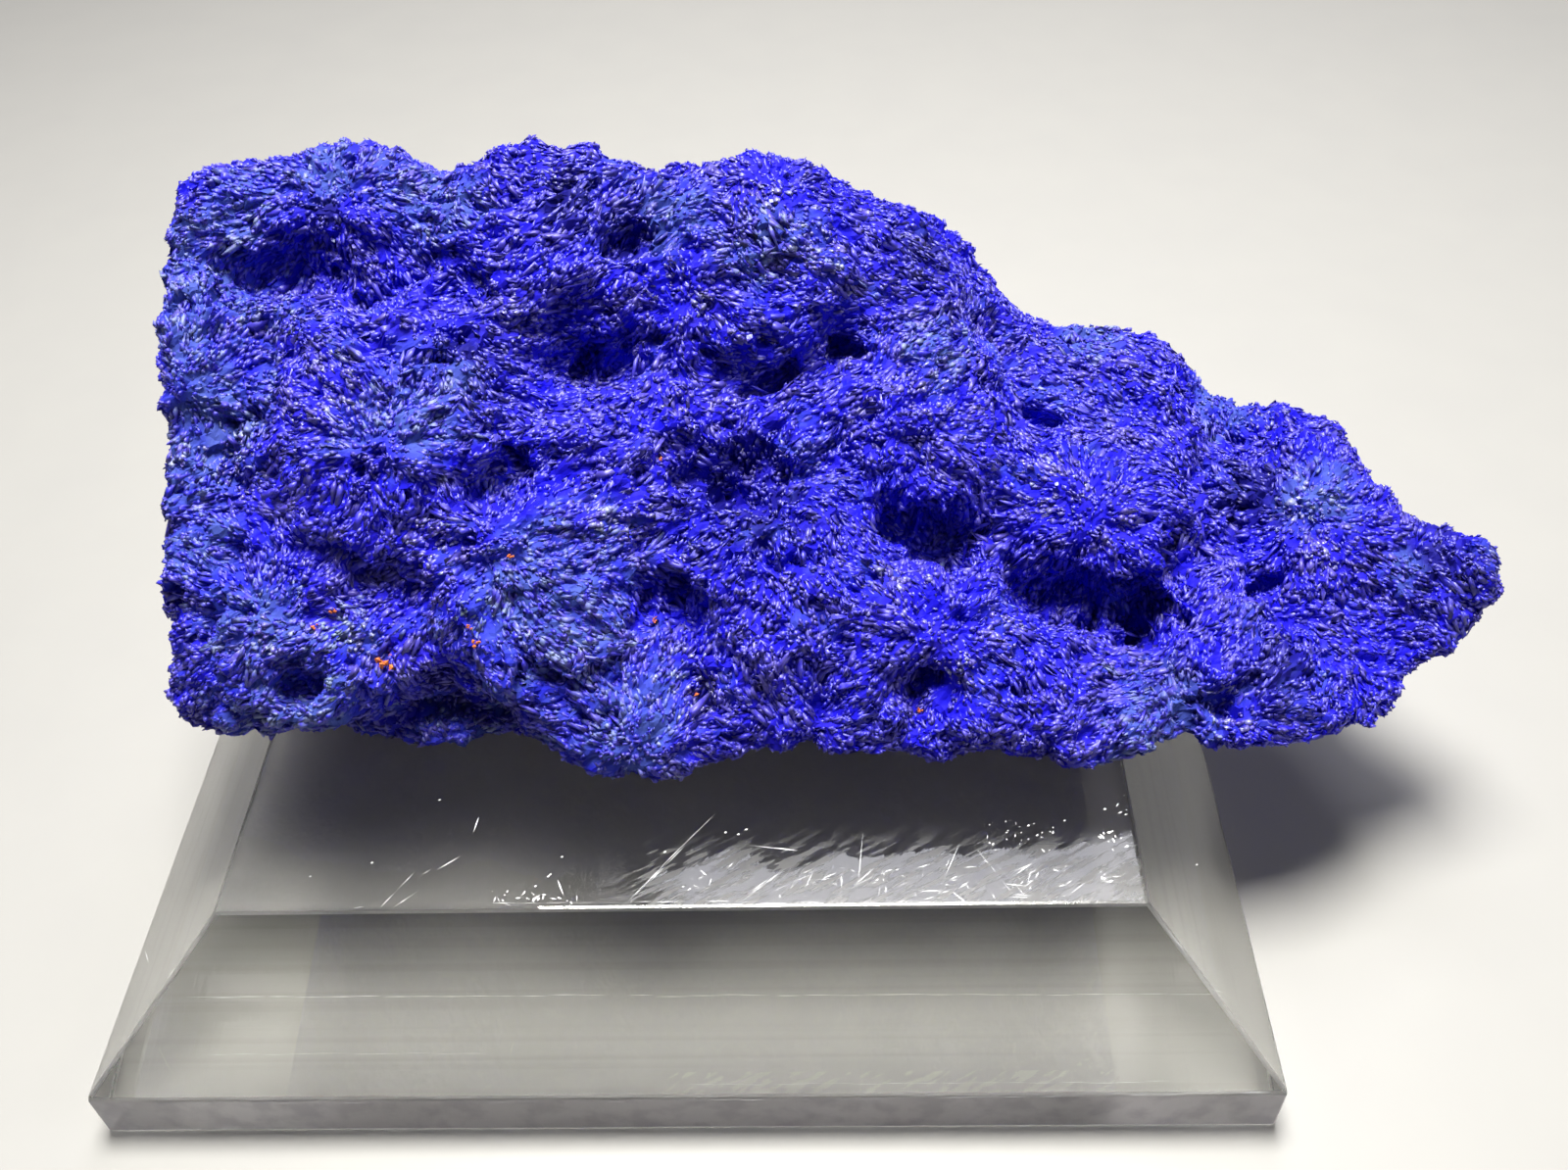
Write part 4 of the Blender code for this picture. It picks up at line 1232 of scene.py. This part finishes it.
block_tree = BVHTree.FromPolygons([tuple(base.matrix_world @ vertex.co) for vertex in base.data.vertices],
                                  [tuple(face.vertices) for face in base.data.polygons])


def on_block(across_px, down_px):
    """The block's place and normal under a pixel of the photograph."""
    place, normal = block_tree.ray_cast(EYE, toward_pixel(across_px, down_px))[:2]
    return np.array(place), np.array(normal)


def add_sliver(start, end, normal, width):
    """Adds a thin closed sliver with a raised middle, which lies on a face."""
    side = unit(np.cross(end - start, normal)[None])[0] * width / 2
    middle = start + (end - start) * random.uniform(0.35, 0.65)
    slivers.append([start, end, middle + side, middle - side, middle + normal * LIP])


print("a sliver has", len(SLIVER_FACES), "faces")

# %% Single scratches and edge lines
# Each row: the pixels of both ends, and the width in millimetres.
SCRATCHES = (
    (640, 920, 730, 830, 0.07), (646, 917, 700, 862, 0.05), (387, 927, 423, 890, 0.09),
    (400, 927, 427, 909, 0.06), (447, 887, 471, 873, 0.09), (483, 850, 490, 829, 0.10),
    (993, 863, 1040, 920, 0.06), (1015, 880, 1052, 921, 0.05), (760, 917, 800, 887, 0.11),
    (787, 910, 833, 890, 0.07), (767, 863, 817, 869, 0.10), (870, 905, 893, 885, 0.09),
    (500, 922, 700, 920, 0.06), (720, 921, 900, 920, 0.09), (905, 920, 1172, 921, 0.07),
    (190, 1018, 620, 1016, 0.035), (640, 1016, 1250, 1013, 0.035), (210, 1076, 500, 1075, 0.012),
    (700, 1107, 1200, 1104, 0.012), (165, 1126, 560, 1124, 0.06), (580, 1124, 1050, 1119, 0.06),
    (1060, 1119, 1300, 1114, 0.06), (1174, 924, 1240, 1016, 0.05), (148, 970, 152, 984, 0.07),
    (360, 927, 372, 925, 0.08), (430, 893, 440, 887, 0.07),
)
PIECE_LENGTH = 2.2 * MM
WANDER = 0.03 * MM

for start_px, start_down, end_px, end_down, width in SCRATCHES:
    (start, normal), end = on_block(start_px, start_down), on_block(end_px, end_down)[0]
    steps = max(1, round(float(np.linalg.norm(end - start)) / PIECE_LENGTH))
    for step in range(steps):
        begin = (step - random.uniform(0, 0.3)) / steps
        stop = (step + 1 + random.uniform(-0.2, 0.3)) / steps
        wander = random.normal(0, WANDER, 3) * (steps > 1)
        first, last = (start + (end - start) * min(max(part, 0), 1) + wander for part in (begin, stop))
        piece_width = width * MM * random.uniform(0.6, 1.2)
        add_sliver(first, last, normal, piece_width)
print(len(slivers), "slivers in", len(SCRATCHES), "scratches")

# %% Scuffed places and specks
# Each row: left, upper, right and lower edge in pixels, how many, length in millimetres, and how wide.
SCUFFED = (
    (780, 885, 1090, 918, 90, 1.1, 1), (990, 838, 1100, 880, 22, 0.4, 1.4),
    (1120, 812, 1150, 905, 28, 0.3, 2.2), (500, 910, 590, 922, 26, 0.5, 1.6),
    (690, 868, 770, 918, 16, 0.8, 1), (1020, 846, 1075, 868, 9, 0.3, 1.5),
)
SPECKS = (
    (378, 881), (315, 895), (558, 895), (572, 875), (677, 870), (739, 850), (760, 847), (1220, 883),
    (560, 893), (545, 905), (752, 852), (447, 817), (1057, 853), (1048, 843), (1012, 862), (1085, 838),
)
SCUFF_WIDTH, SCUFF_TURN = 0.06 * MM, math.radians(38)
SPECK_REACH, SPECK_WIDTH = np.array([0.22, 0.12, 0]) * MM, 0.16 * MM

for left_px, high_px, right_px, low_px, count, long, wide in SCUFFED:
    for number in range(count):
        start, normal = on_block(random.uniform(left_px, right_px), random.uniform(high_px, low_px))
        turn = random.normal(SCUFF_TURN, SCUFF_TURN * wide)
        reach = long * MM * (0.2 + random.exponential(0.6)) * (normal[2] > 0.99)
        end = start + reach * np.array([math.cos(turn), math.sin(turn), 0])
        scuff_width = wide * SCUFF_WIDTH * random.uniform(0.5, 1.8)
        add_sliver(start, end, normal, scuff_width)
for across_px, down_px in SPECKS:
    start, normal = on_block(across_px, down_px)
    add_sliver(start, start + SPECK_REACH, normal, SPECK_WIDTH)
print(len(slivers), "slivers in all")

# %% [markdown]
# ## Scuffed acrylic
# Where acrylic is torn, its surface is broken up like frosted glass. It scatters the light instead of
# letting it through, so a scratch looks like a fine white line with a soft shine. Noise half a millimetre
# wide makes some stretches of it greyer.

# %% Scuffed acrylic
TEAR_SIZE = 0.5 * MM

scuffed, tree, shader = start_material("scuffed acrylic, torn by scratching")
where = add(tree, "ShaderNodeTexCoord").outputs["Object"]
tear = add(tree, "ShaderNodeTexNoise", Vector=where, Scale=1 / TEAR_SIZE, Detail=2.0).outputs["Fac"]
colour = add(tree, "ShaderNodeMix", COLOUR_MIX,
             _0=tear, _6=linear("D8D8E2"), _7=linear("FFFFFF")).outputs[2]
tree.links.new(colour, shader.inputs["Base Color"])
shader.inputs["Roughness"].default_value = 0.35
shader.inputs["IOR"].default_value = ACRYLIC_IOR

mark_mesh = joined("block_scratches", slivers, SLIVER_FACES)
mark_mesh.materials.append(scuffed)
marks = bpy.data.objects.new("block_scratches", mark_mesh)
bpy.context.scene.collection.objects.link(marks)
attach(marks, "root")
print("scratches", len(mark_mesh.polygons), "faces")
